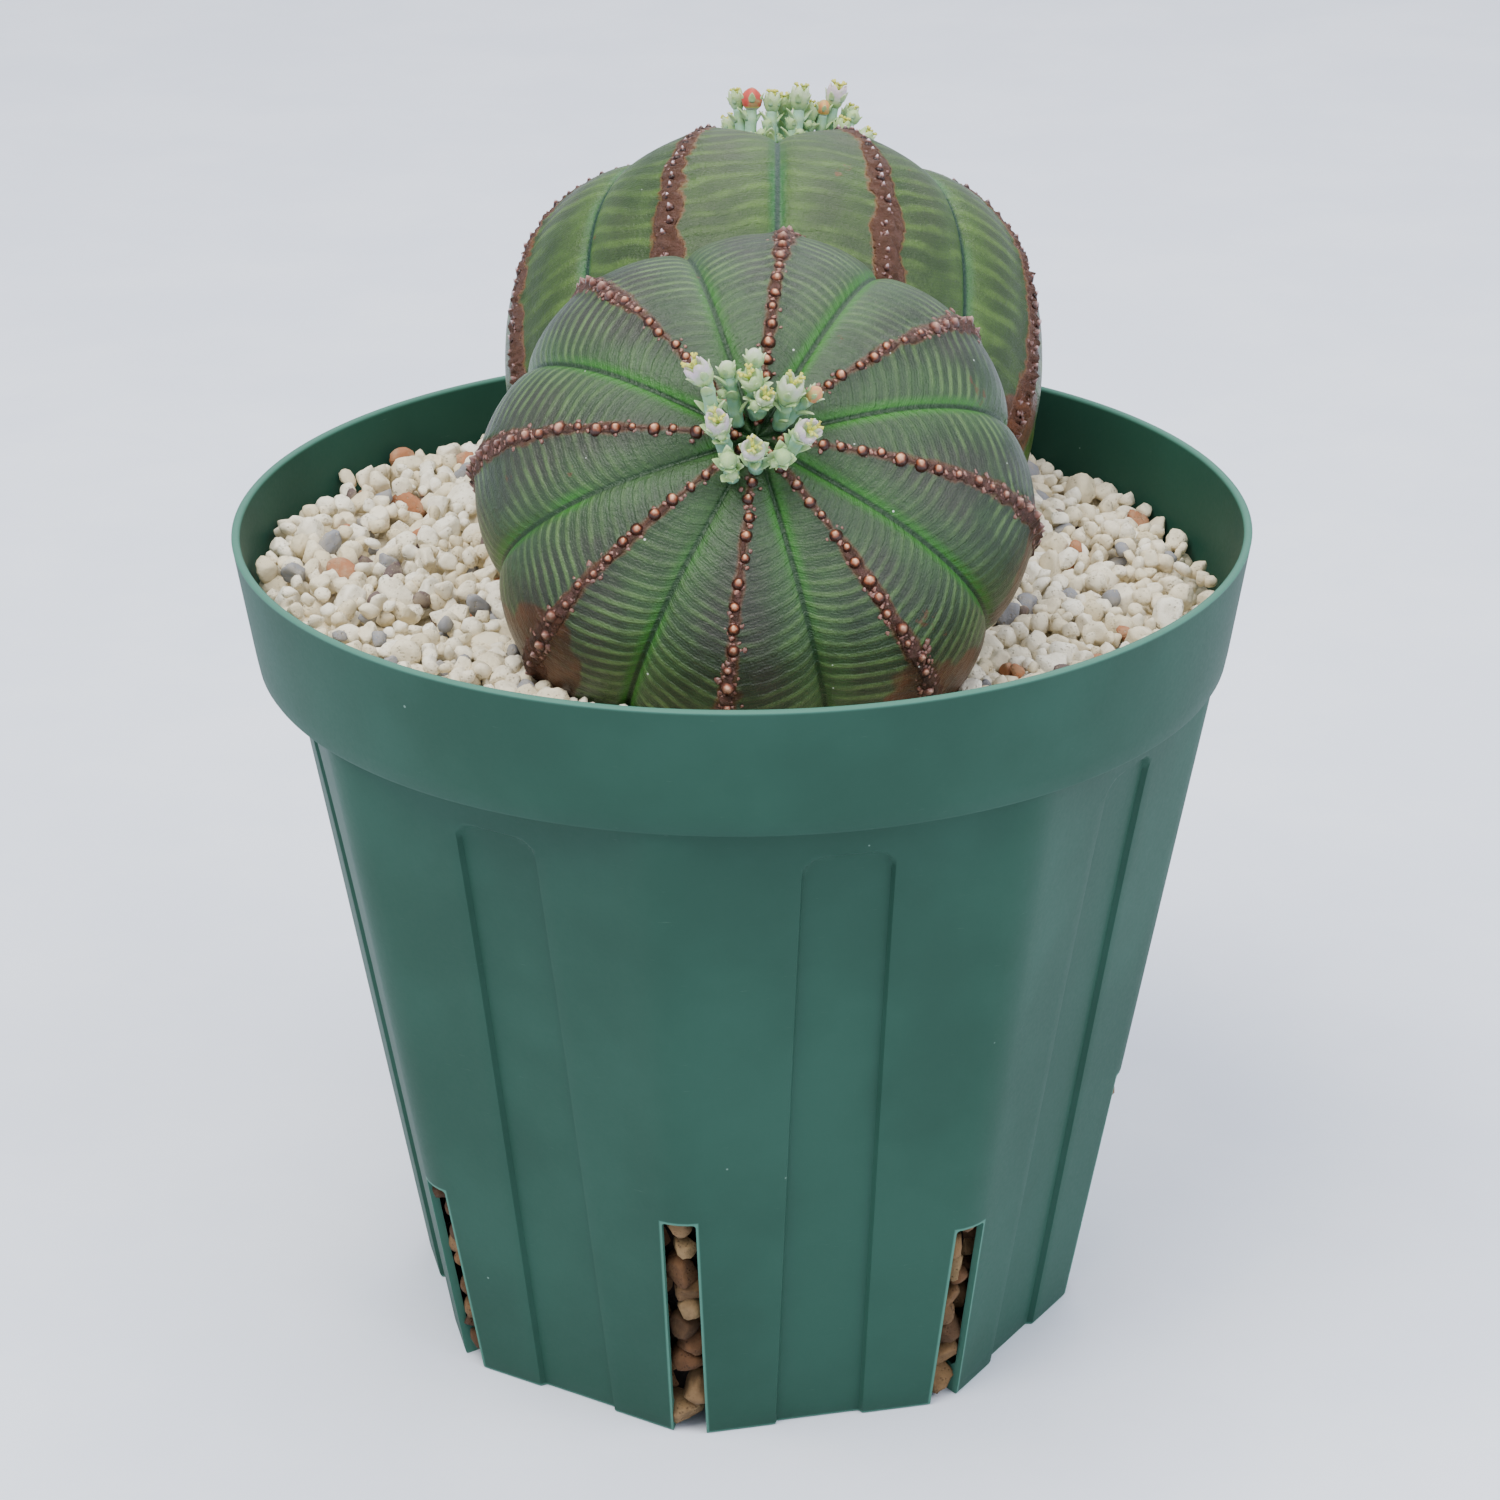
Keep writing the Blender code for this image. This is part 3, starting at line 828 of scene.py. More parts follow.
def scatter_tree(count: int) -> bpy.types.GeometryNodeTree:
    """Build the node group that repeats small meshes over points.

    Args:
        count: number of mesh variants in the collection.

    Returns:
        The group. Its points carry the attributes kind, turn, stretch and tint.
    """
    tree = bpy.data.node_groups.new("scatter", "GeometryNodeTree")
    for name, kind in (("Points", "Geometry"), ("Variants", "Collection"),
                       ("Finish", "Material"), ("Seed", "Int"), ("Jitter", "Float")):
        tree.interface.new_socket(name=name, in_out="INPUT", socket_type=f"NodeSocket{kind}")
    tree.interface.new_socket(name="Result", in_out="OUTPUT", socket_type="NodeSocketGeometry")
    put = partial(add, tree)
    given = put(Kind.GROUP_INPUT).node.outputs
    variants = put(Kind.VARIANTS, given["Variants"], True, True)
    chosen = put(Kind.NAMED, "kind", data_type="INT")
    turn = put(Kind.NAMED, "turn", data_type="FLOAT_VECTOR")
    stretch = put(Kind.NAMED, "stretch", data_type="FLOAT_VECTOR")
    jitter = put(Kind.RANDOM, 0.0, given["Jitter"], given["Seed"])
    index = put(Kind.MODULO, chosen, float(count))
    copies = put(Kind.COPIES, given["Points"], variants, True, index, turn, stretch)
    spun = put(Kind.SPIN, copies, put(Kind.JOIN, jitter))
    put(Kind.GROUP_OUTPUT, put(Kind.FINISH, put(Kind.REALIZE, spun), given["Finish"]))
    return tree


def scatter(name: str, points: np.ndarray, turns: np.ndarray, sizes: np.ndarray,
            kinds: np.ndarray, tints: np.ndarray, variants: list[bpy.types.Mesh],
            mat: bpy.types.Material, seed: int, jitter: float = 0.0) -> bpy.types.Mesh:
    """Repeat small meshes over points with Geometry Nodes and keep the plain result.

    Args:
        name: mesh name.
        points: (n, 3) places in millimetres.
        turns: (n, 3) Euler angles.
        sizes: (n, 3) scale of each copy.
        kinds: which variant each copy uses.
        tints: one colour number for each copy.
        variants: meshes to repeat.
        mat: material of the result.
        seed: seed of the small extra spin.
        jitter: largest extra spin in radians.

    Returns:
        The joined mesh.
    """
    seeds = bpy.data.meshes.new(f"{name}_points")
    seeds.from_pydata((points * MM).tolist(), [], [])
    for key, kind, numbers in (("turn", "FLOAT_VECTOR", turns), ("stretch", "FLOAT_VECTOR", sizes),
                               ("tint", "FLOAT", tints), ("kind", "INT", kinds)):
        layer = seeds.attributes.new(key, kind, "POINT")
        layer.data.foreach_set("vector" if kind == "FLOAT_VECTOR" else "value",
                               np.ascontiguousarray(numbers).reshape(-1))
    store = bpy.data.collections.new(f"{name}_variants")
    for number, mesh in enumerate(variants):
        store.objects.link(bpy.data.objects.new(f"{name}_variant_{number:02d}", mesh))
    holder = bpy.data.objects.new(f"{name}_holder", seeds)
    bpy.context.scene.collection.objects.link(holder)
    tree = scatter_tree(len(variants))
    mod = holder.modifiers.new("scatter", "NODES")
    mod.node_group = tree
    inputs = {item.name: item.identifier for item in tree.interface.items_tree
              if item.in_out == "INPUT"}
    mod[inputs["Variants"]] = store
    mod[inputs["Finish"]] = mat
    mod[inputs["Seed"]] = seed
    mod[inputs["Jitter"]] = jitter
    bpy.context.view_layer.update()
    graph = bpy.context.evaluated_depsgraph_get()
    mesh = bpy.data.meshes.new_from_object(holder.evaluated_get(graph))
    mesh.name = name
    holder.modifiers.clear()
    bpy.data.objects.remove(holder, do_unlink=True)
    for obj in list(store.objects):
        bpy.data.objects.remove(obj, do_unlink=True)
    bpy.data.collections.remove(store)
    bpy.data.node_groups.remove(tree)
    mesh.polygons.foreach_set("use_smooth", [True] * len(mesh.polygons))
    return mesh


# Pot


def rim_radius(z: float | np.ndarray) -> float | np.ndarray:
    """Outside radius of the rim band.

    Args:
        z: height in millimetres, or many.

    Returns:
        The radius in millimetres.
    """
    return BAND_R + (RIM_R - BAND_R) * (z - BAND_Z) / (POT_H - BAND_Z)


@dataclass
class SlitPot:
    """The eight-sided pot with its round rim band, sunk strips and corner slits."""

    finish: PotPlastic = field(default_factory=PotPlastic)
    corner_radius: float = 8.0
    bulge: float = 0.12
    panel_half: float = 6.5
    panel_top: float = 100.5
    panel_corner: float = 3.0
    panel_deep: float = 0.9
    panel_soft: float = 0.28
    slit_in: float = 12.0
    lip: float = 0.55
    floor: float = 1.6
    foot_width: float = 9.0
    floor_rise: float = 3.0

    def columns(self) -> np.ndarray:
        """Where the grid's columns lie along half a side.

        Returns:
            Signed shares: from 0 at a corner to 1 at the strip's soft edge, then on to 2
            at the middle of the side.
        """
        plain = np.linspace(0.0, 1.0, 11)[:-1]
        soft = np.linspace(1.0, 1.3, 6)[:-1]
        middle = np.linspace(1.3, 2.0, 4)
        return np.concatenate([plain, soft, middle])

    def side_point(self, share: float, z: float, inset: float) -> tuple[float, float]:
        """A point of the rounded octagon.

        Args:
            share: place along half a side, as columns() gives it.
            z: height, which sets the octagon's size.
            inset: how far the wall is moved inwards.

        Returns:
            Distance along the side from its middle and distance out from the axis.
        """
        corner = BASE_R + (BODY_R - BASE_R) * min(z, BAND_Z) / BAND_Z
        apothem = corner * math.cos(math.pi / SIDES) - inset
        half = apothem * math.tan(math.pi / SIDES)
        start = self.panel_half + 0.6
        if share <= 1.0:
            along = half + (start - half) * share
        else:
            along = start * (2.0 - share)
        radius = max(self.corner_radius - inset, 2.0)
        tangent = radius * math.tan(math.pi / SIDES)
        out = apothem
        from_corner = half - along
        if from_corner < tangent:
            angle = (1.0 - from_corner / tangent) * math.pi / SIDES
            out = apothem - radius * (1.0 - math.cos(angle))
            along = half - tangent + radius * math.sin(angle)
        swell = self.bulge * max(0.0, min(1.0, (z - 60.0) / 46.0)) ** 2
        away = math.hypot(along, out)
        out += (corner - inset - away) * swell * out / away
        return along, out

    def strip_depth(self, along: float, z: float) -> float:
        """How deep the sunk strip is at a point of the wall.

        Args:
            along: distance from the strip's middle line.
            z: height.

        Returns:
            Depth in millimetres.
        """
        dx = abs(along) - (self.panel_half - self.panel_corner)
        dz = z - (self.panel_top - self.panel_corner)
        outside = math.hypot(max(dx, 0.0), max(dz, 0.0)) + min(max(dx, dz), 0.0)
        gap = outside - self.panel_corner
        t = max(0.0, min(1.0, (self.panel_soft - gap) / (2 * self.panel_soft)))
        return self.panel_deep * t * t * (3.0 - 2.0 * t)

    def ring(self, z: float, inset: float, sunk: bool, to_circle: float = 0.0,
             circle: float = 0.0) -> np.ndarray:
        """One ring of the wall.

        Args:
            z: height.
            inset: how far in from the outside wall.
            sunk: whether the sunk strips show.
            to_circle: share of the way to a round ring.
            circle: radius of that round ring.

        Returns:
            (n, 3) points.
        """
        shares = self.columns()
        points = []
        for side in range(SIDES):
            turn = CORNER_AZ + (side + 0.5) * TAU / SIDES
            for mirror in (-1.0, 1.0):
                order = shares if mirror < 0 else shares[::-1][1:-1]
                for share in order:
                    along, out = self.side_point(share, z, inset)
                    if sunk:
                        out -= self.strip_depth(along, z)
                    azimuth = turn + math.atan2(mirror * along, out)
                    radius = math.hypot(along, out)
                    radius += (circle - radius) * to_circle
                    points.append((radius * math.sin(azimuth), -radius * math.cos(azimuth), z))
        return np.array(points)

    def rings(self) -> list[np.ndarray]:
        """Every ring from the middle of the underside, up the outside and down the inside.

        Returns:
            The rings in order.
        """
        foot = BASE_R * math.cos(math.pi / SIDES) - self.foot_width
        rise = self.floor_rise
        made = [self.ring(rise, 0.0, False, 1.0, r) for r in (2.0, foot * 0.5, foot - 1.6)]
        made += [self.ring(rise * 0.5, 0.0, False, 1.0, foot - 0.6),
                 self.ring(0.0, 0.0, False, 1.0, foot)]
        made += [self.ring(0.0, 3.0, False), self.ring(0.0, 0.35, True), self.ring(0.12, 0.1, True)]
        heights = np.concatenate([np.linspace(0.4, 94.0, 36), np.linspace(96.0, 99.6, 7),
                                  np.linspace(99.8, 101.2, 8), np.linspace(102.5, BAND_Z, 4)])
        made += [self.ring(z, 0.0, True) for z in heights]
        under = [(BAND_Z, 0.55, -2.6), (BAND_Z, 1.0, -0.9), (BAND_Z + 0.1, 1.0, -0.25),
                 (BAND_Z + 0.5, 1.0, 0.0)]
        made += [self.ring(z, 0.0, False, share, BAND_R + off) for z, share, off in under]
        made += [self.ring(z, 0.0, False, 1.0, rim_radius(z))
                 for z in (110.0, 114.0, 118.0, 122.0, 125.4, POT_H - self.lip)]
        for angle in np.radians((22.0, 50.0, 90.0, 130.0, 158.0, 180.0)):
            middle = rim_radius(POT_H) - WALL / 2
            made.append(self.ring(POT_H - self.lip + self.lip * math.sin(angle), 0.0, False, 1.0,
                                  middle + WALL / 2 * math.cos(angle)))
        made += [self.ring(z, 0.0, False, 1.0, rim_radius(z) - WALL)
                 for z in (125.0, 121.0, 117.0, 113.0, BAND_Z + WALL + 0.6)]
        made += [self.ring(BAND_Z + WALL, 0.0, False, 1.0, BAND_R - WALL - 0.6),
                 self.ring(BAND_Z + WALL, WALL, False, 0.0), self.ring(BAND_Z, WALL, False)]
        made += [self.ring(z, WALL, False) for z in (88.0, 66.0, 44.0, 22.0)]
        inside = rise + self.floor
        made += [self.ring(inside + 0.8, WALL, False), self.ring(inside, WALL + 0.8, False),
                 self.ring(inside, 0.0, False, 1.0, foot * 0.6),
                 self.ring(inside, 0.0, False, 1.0, 2.0)]
        return made

    def slits(self) -> bpy.types.Object:
        """The cutter for the slits.

        Returns:
            An object made of eight boxes.
        """
        bm = bmesh.new()
        for k in range(SIDES):
            azimuth = CORNER_AZ + k * TAU / SIDES
            top = SLIT_TOPS[k % 2]
            middle = Vector((BASE_R * math.sin(azimuth), -BASE_R * math.cos(azimuth),
                             top / 2 - 1.0))
            size = Matrix.Diagonal((SLIT_WIDTH, 2 * self.slit_in, top + 2.0, 1.0))
            matrix = Matrix.Translation(middle) @ Matrix.Rotation(azimuth, 4, "Z") @ size
            made = bmesh.ops.create_cube(bm, size=1.0, matrix=matrix)
            top_edges = [e for v in made["verts"] for e in v.link_edges
                         if all(w.co.z > top / 2 for w in e.verts)]
            radial = [e for e in set(top_edges)
                      if abs((e.verts[0].co - e.verts[1].co).length - 2 * self.slit_in) < 1e-3]
            bmesh.ops.bevel(bm, geom=radial, offset=0.5, segments=3, affect="EDGES", profile=0.5)
        bm.transform(Matrix.Scale(MM, 4))
        mesh = bpy.data.meshes.new("slits")
        bm.to_mesh(mesh)
        bm.free()
        obj = bpy.data.objects.new("slits", mesh)
        bpy.context.scene.collection.objects.link(obj)
        return obj

    def build(self) -> bpy.types.Object:
        """Build the pot.

        Returns:
            The piece.
        """
        rings = self.rings()
        points = np.concatenate(rings + [np.array([[0.0, 0.0, self.floor_rise]]),
                                         np.array([[0.0, 0.0, self.floor_rise + self.floor]])])
        faces = fanned_faces(len(rings), len(rings[0]))
        obj = bpy.data.objects.new("pot_blank", outward(mesh_of("pot_blank", points, faces)))
        bpy.context.scene.collection.objects.link(obj)
        tool = self.slits()
        mod = obj.modifiers.new("slits", "BOOLEAN")
        mod.operation = "DIFFERENCE"
        mod.solver = "EXACT"
        mod.object = tool
        bpy.context.view_layer.update()
        graph = bpy.context.evaluated_depsgraph_get()
        mesh = bpy.data.meshes.new_from_object(obj.evaluated_get(graph))
        bpy.data.objects.remove(obj, do_unlink=True)
        bpy.data.objects.remove(tool, do_unlink=True)
        mesh.set_sharp_from_angle(angle=math.radians(38.0))
        return place_piece("pot_moulding", mesh, self.finish.material(), ("pot",))


# Stems


@dataclass(frozen=True)
class StemShape:
    """One ribbed ball: the surface fitted to the photo, held inside the pot's rim."""

    stem: Stem
    centre: tuple[float, float, float]
    radius: float
    up: float
    down: float
    lean: tuple[float, float]
    turn: float
    power: float
    groove: float
    side: float
    root: tuple[float, float]
    ribs: int = 8
    contact: float = -1.4
    contact_soft: float = 4.2
    soft: float = 1.2
    lowest: float = 109.6
    rim_wall: float = 1.5
    wall_gap: float = 0.9
    spray_depth: float = 0.8

    def axes(self) -> tuple[np.ndarray, np.ndarray, np.ndarray]:
        """Axis of the ball and the two directions across it.

        Returns:
            Axis, direction towards the front, direction to the right.
        """
        axis = np.array([*self.lean, 1.0])
        axis /= np.linalg.norm(axis)
        front = np.array([0.0, -1.0, 0.0])
        front = front - axis * (front @ axis)
        front /= np.linalg.norm(front)
        across = np.cross(axis, front)
        if across[0] < 0:
            across = -across
        return axis, front, across

    def held(self, value: np.ndarray, side: float, limit: object,
             soft: float | None = None) -> np.ndarray:
        """Hold values softly on one side of a limit.

        Args:
            value: values.
            side: 1 to stay above, -1 to stay below.
            limit: the limit.
            soft: how soft the turn is, the stem's own softness if left out.

        Returns:
            The held values.
        """
        away = (value - limit) * side
        soft = self.soft if soft is None else soft
        return limit + side * 0.5 * (away + np.sqrt(away * away + soft ** 2))

    def share(self, phi: np.ndarray) -> np.ndarray:
        """How far from a rib towards a furrow.

        Args:
            phi: angles round the axis.

        Returns:
            0 on a rib, 1 in a furrow.
        """
        sector = (phi - self.turn) / (TAU / self.ribs)
        return np.abs((sector + 0.5) % 1.0 - 0.5) * 2.0

    def half_gap(self, theta: np.ndarray) -> np.ndarray:
        """Half the distance between two ribs, which is never quite zero.

        Args:
            theta: angles from the growing tip.

        Returns:
            Distances in millimetres.
        """
        return np.pi / self.ribs * self.radius * np.sin(theta).clip(0.02)

    def skin(self, theta: np.ndarray, phi: np.ndarray, lift: object = 0.0) -> np.ndarray:
        """Points on the skin.

        Args:
            theta: angles from the growing tip.
            phi: angles round the axis.
            lift: how far the skin is raised there.

        Returns:
            (..., 3) points in millimetres.
        """
        axis, front, across = self.axes()
        share = self.share(phi)
        spread = np.abs(np.sin(theta)) ** self.power
        cos = np.cos(theta)
        rise = np.sign(cos) * np.abs(cos) ** self.power
        reach = np.where(cos >= 0, self.up, self.down)
        radius = self.radius * spread * (1.0 - self.groove * share ** 2.2)
        out = np.cos(phi)[..., None] * front + np.sin(phi)[..., None] * across
        skin = out * radius[..., None] + axis * (rise * reach)[..., None]
        length = np.linalg.norm(skin, axis=-1, keepdims=True)
        lift = np.broadcast_to(np.asarray(lift, dtype=float), radius.shape)
        skin = skin * (1.0 + lift[..., None] / np.maximum(length, 1e-6))
        point = np.array(self.centre) + skin
        point[..., 2] = self.held(point[..., 2], 1.0, self.lowest)
        away = np.hypot(point[..., 0], point[..., 1])
        limit = rim_radius(np.minimum(point[..., 2], POT_H)) - self.rim_wall - self.wall_gap
        limit = limit + RIM_LEAN * (point[..., 2] - POT_H).clip(0.0)
        scale = np.where(away > limit / 2, self.held(away, -1.0, limit) / np.maximum(away, 1e-6),
                         1.0)
        point[..., 0] *= scale
        point[..., 1] *= scale
        point[..., 1] = self.held(point[..., 1], self.side, self.contact + self.side * 0.1,
                                  self.contact_soft)
        return point

    def rib_line(self, rib: int, theta: np.ndarray,
                 lift: np.ndarray) -> tuple[np.ndarray, np.ndarray, np.ndarray]:
        """Points down the crest of one rib.

        Args:
            rib: number of the rib.
            theta: angles from the growing tip.
            lift: how far the skin is raised there.

        Returns:
            Points, outward normals and the distance from the tip along the skin.
        """
        phi = np.full(len(theta), self.turn + rib * TAU / self.ribs)
        line = self.skin(theta, phi, lift)
        down = np.gradient(line, axis=0)
        side = self.skin(theta, phi + 0.01, lift) - self.skin(theta, phi - 0.01, lift)
        normal = np.cross(down, side)
        normal /= np.linalg.norm(normal, axis=1, keepdims=True) + 1e-9
        outwards = line - np.array(self.centre)
        normal *= np.sign((normal * outwards).sum(axis=1, keepdims=True))
        along = np.concatenate([[0.0], np.cumsum(np.linalg.norm(np.diff(line, axis=0), axis=1))])
        return line, normal, along


def gravel_level(x: np.ndarray, y: np.ndarray) -> np.ndarray:
    """Height of the top of the gravel.

    Args:
        x: places along X.
        y: places along Y.

    Returns:
        Heights in millimetres.
    """
    out = np.minimum(1.0, np.hypot(x, y) / GRAVEL_R)
    return GRAVEL_EDGE + GRAVEL_RISE * (1.0 - out * out) - GRAVEL_TILT * x / RIM_R


@dataclass
class BallStem:
    """One stem: its ribbed skin with the root neck, and the horny beads on its ribs."""

    shape: StemShape
    skin: StemSkin
    horn: BeadHorn
    bead_gap: float
    bead_size: float
    crust_from: float
    crust_count: int
    seed: int
    hollow: float
    hollow_at: float
    hollow_wide: float
    tip_depth: float
    tip_wide: float = 0.3
    columns_per_rib: int = 40
    rows: int = 250
    rib_ends: tuple[float, float] = (0.02, 2.2)
    rib_points: int = 400
    crust_reach: float = 3.0

    def relief(self, theta: np.ndarray, phi: np.ndarray) -> np.ndarray:
        """Fine relief of the skin: creased, hollowed furrows, low crests and a sunk tip.

        Args:
            theta: angles from the growing tip.
            phi: angles round the axis.

        Returns:
            Heights in millimetres.
        """
        share = self.shape.share(phi)
        half = self.shape.half_gap(theta)
        from_furrow = (1.0 - share) * half
        from_rib = share * half
        age = (theta / GROWN).clip(0.0, 1.0)
        furrow = -0.85 * np.exp(-(from_furrow / 0.95) ** 1.25) * (0.35 + 0.65 * np.sin(theta))
        hollow = np.exp(-((theta - self.hollow_at) / self.hollow_wide) ** 2)
        furrow = furrow - self.hollow * share ** 1.6 * hollow - self.sunk(theta)
        crest = (0.12 + 0.8 * age ** 1.3) * np.exp(-(from_rib / (1.0 + 0.9 * age)) ** 2)
        return furrow + crest

    def sunk(self, theta: np.ndarray) -> np.ndarray:
        """How far the growing tip lies below the crown of the ribs.

        Args:
            theta: angles from the growing tip.

        Returns:
            Depths in millimetres.
        """
        return self.tip_depth * np.exp(-(theta / self.tip_wide) ** 2)

    def build_skin(self) -> bpy.types.Object:
        """Build the ribbed skin with its root.

        Returns:
            The piece.
        """
        shape = self.shape
        columns = shape.ribs * self.columns_per_rib
        # Rows lie close together down to the gravel, and few lie under it
        theta = np.concatenate([np.linspace(0.012, 2.25, self.rows), np.linspace(2.3, 3.1, 10)])
        phi = shape.turn + np.arange(columns) * TAU / columns
        grid_theta, grid_phi = np.meshgrid(theta, phi, indexing="ij")
        lift = self.relief(grid_theta, grid_phi)
        base = shape.skin(grid_theta, grid_phi, lift)
        rough = np.zeros(base.shape[:2])
        half = shape.half_gap(grid_theta)
        across = shape.share(grid_phi) * half
        crusted = (across < self.crust_reach) & (grid_theta > 0.3) & (grid_theta < 2.2)
        for r, c in zip(*np.nonzero(crusted)):
            lump = noise.fractal(Vector(base[r, c]) * 1.1, 0.6, 2.0, 4)
            rough[r, c] = lump * (1.0 - across[r, c] / self.crust_reach)
        older = (grid_theta / GROWN).clip(0.0, 1.0) ** 1.3
        base = shape.skin(grid_theta, grid_phi, lift + rough * older * 1.2)
        steps = np.linalg.norm(np.diff(base, axis=0), axis=2)
        along = np.concatenate([np.zeros((1, columns)), np.cumsum(steps, axis=0)])
        along = np.broadcast_to(along.mean(axis=1, keepdims=True), along.shape)
        tip = shape.skin(np.array([0.0]), np.array([shape.turn]), lift[0].mean())
        end = shape.skin(np.array([np.pi]), np.array([shape.turn]))
        points = np.concatenate([base.reshape(-1, 3), tip, end])
        faces = fanned_faces(len(theta), columns)
        age = np.broadcast_to((grid_theta / GROWN).clip(0.0, 1.2), across.shape)
        values = {"along": along, "across": across, "gap": half - across, "age": age}
        values = {key: np.concatenate([numbers.reshape(-1), numbers[0, :1], numbers[-1, :1]])
                  for key, numbers in values.items()}
        root, root_faces = self.root(len(points))
        points = np.concatenate([points, root])
        for key, number in (("along", 90.0), ("across", 0.0), ("gap", 10.0), ("age", 1.2)):
            values[key] = np.concatenate([values[key], np.full(len(root), number)])
        mesh = outward(mesh_of(f"{shape.stem.value}_skin", points, faces + root_faces, values))
        return place_piece(f"{shape.stem.value}_ball", mesh, self.skin.material(),
                           (f"{shape.stem.value}_stem",))

    def root(self, start: int, sides: int = 24) -> tuple[np.ndarray, list]:
        """The tapering root neck, hidden in the fill.

        Args:
            start: number of its first point.
            sides: points in each of its rings.

        Returns:
            Its points and faces.
        """
        angle = np.arange(sides) * TAU / sides
        top = self.shape.centre[2] - 18.0
        rings = []
        for radius, z in ((0.05, 66.2), (3.4, 66.4), (5.2, 84.0), (7.0, 100.0), (8.9, top),
                          (0.05, top)):
            wave = radius * (1.0 + 0.08 * np.sin(3 * angle + z))
            rings.append(np.stack([self.shape.root[0] + wave * np.cos(angle),
                                   self.shape.root[1] + wave * np.sin(angle),
                                   np.full(sides, z)], axis=1))
        faces = [[start + number for number in face] for face in tube_faces(len(rings), sides)]
        return np.concatenate(rings), faces

    def bead_mesh(self, number: int, pointed: float) -> bpy.types.Mesh:
        """One bead: a low round foot under a drawn-out cone.

        Args:
            number: seed of its unevenness.
            pointed: how sharply it narrows.

        Returns:
            A mesh of about unit radius, its foot at z = 0.
        """
        bm = bmesh.new()
        bmesh.ops.create_uvsphere(bm, u_segments=14, v_segments=10, radius=1.0)
        level = []
        for vert in bm.verts:
            z = vert.co.z
            high = max(0.0, z)
            narrow = 1.0 - pointed * high ** 0.8
            lump = 1.0 + 0.16 * noise.noise(Vector((vert.co.x, vert.co.y, z + number * 7.0)) * 1.6)
            vert.co.x *= narrow * lump
            vert.co.y *= narrow * lump
            vert.co.z = (z * 1.25 if z > 0 else z * 0.5) * lump
            vert.co.x += 0.22 * high * high
            level.append(max(0.0, min(1.0, vert.co.z / 1.25)))
        return lump_mesh("bead", bm, level)

    def crumb_mesh(self, number: int) -> bpy.types.Mesh:
        """One crumb of the crust between the beads.

        Args:
            number: seed of its unevenness.

        Returns:
            A small uneven lump of about unit radius.
        """
        bm = bmesh.new()
        bmesh.ops.create_icosphere(bm, subdivisions=2, radius=1.0)
        level = []
        for vert in bm.verts:
            lump = 1.0 + 0.5 * noise.noise(vert.co * 1.4 + Vector((number * 5.0, 0.0, 0.0)))
            vert.co *= lump
            vert.co.z *= 0.8
            level.append(max(0.0, min(1.0, 0.15 + vert.co.z * 0.75)))
        return lump_mesh("crumb", bm, level)

    def shown(self, point: np.ndarray) -> bool:
        """Whether a bead at a place is clear of the gravel and of the other stem.

        Args:
            point: its place.

        Returns:
            True where it may stand.
        """
        clear = (point[1] - self.shape.contact) * self.shape.side > 2.2
        return bool(clear and point[2] > gravel_level(point[0], point[1]) - 1.0)

    def bead_rows(self, rng: np.random.Generator) -> list[tuple]:
        """Decide where the beads and the crumbs of the crust stand.

        Args:
            rng: seeded draws.

        Returns:
            For each copy its place, the way it points, its size, its variant and its wear.
        """
        rows: list[tuple] = []
        theta = np.linspace(*self.rib_ends, self.rib_points)
        for rib in range(self.shape.ribs):
            line, normal, along = self.shape.rib_line(rib, theta, -self.sunk(theta))
            place = 2.0 + rng.uniform(-0.4, 0.8)
            while place < along[-1]:
                k = min(int(np.searchsorted(along, place)), len(line) - 2)
                age = place / along[-1]
                spot, up = line[k], normal[k]
                down = line[k + 1] - line[k]
                down = down / np.linalg.norm(down)
                if self.shown(spot):
                    rows += self.bead_group(rng, spot, up, down, age, min(place / 9.0, 1.0))
                place += self.bead_gap * rng.uniform(0.82, 1.22)
        return rows

    def bead_group(self, rng: np.random.Generator, spot: np.ndarray, up: np.ndarray,
                   down: np.ndarray, age: float, grown: float) -> list[tuple]:
        """One bead with the smaller ones and the crumbs around it.

        Args:
            rng: seeded draws.
            spot: its place on the rib.
            up: the way out of the skin.
            down: the way along the rib, away from the growing tip.
            age: 0 at the growing tip, 1 at the foot of the rib.
            grown: how far a young bead has grown, 0 to 1.

        Returns:
            One row for each copy.
        """
        side = np.cross(up, down)
        drift = side * rng.normal(0.0, 0.12 + 0.3 * age)
        crest = up * (0.05 + 0.6 * age ** 1.3)
        size = self.bead_size * rng.uniform(0.72, 1.15) * (0.8 + 0.3 * grown)
        worn = float(np.clip((age - self.crust_from) * 3.0 + rng.normal(0, 0.15), 0, 1))
        rows = [(spot + drift + crest, up * 0.9 - down * rng.uniform(0.1, 0.45), size,
                 rng.integers(0, 3), worn)]
        if rng.random() < 0.4:
            small = spot + (self.bead_gap * 0.45) * down + drift * 2.0 + crest
            rows.append((small, up, size * rng.uniform(0.3, 0.5), 3, 0.7))
        old = min(1.0, max(0.0, (age - self.crust_from) * 2.6))
        for _ in range(int(5 + self.crust_count * old)):
            ring = rng.normal(0.0, 0.5 + 0.42 * old, 2)
            off = side * ring[0] + down * (ring[1] + old * rng.uniform(-1.1, 1.1))
            sunk = crest * max(0.0, 1.0 - abs(ring[0]) / 2.0) - up * (0.12 + 0.16 * old)
            rows.append((spot + drift + off + sunk, up, rng.uniform(0.24, 0.4 + 0.28 * old),
                         rng.integers(3, 5), rng.uniform(0.75, 1.0)))
        return rows

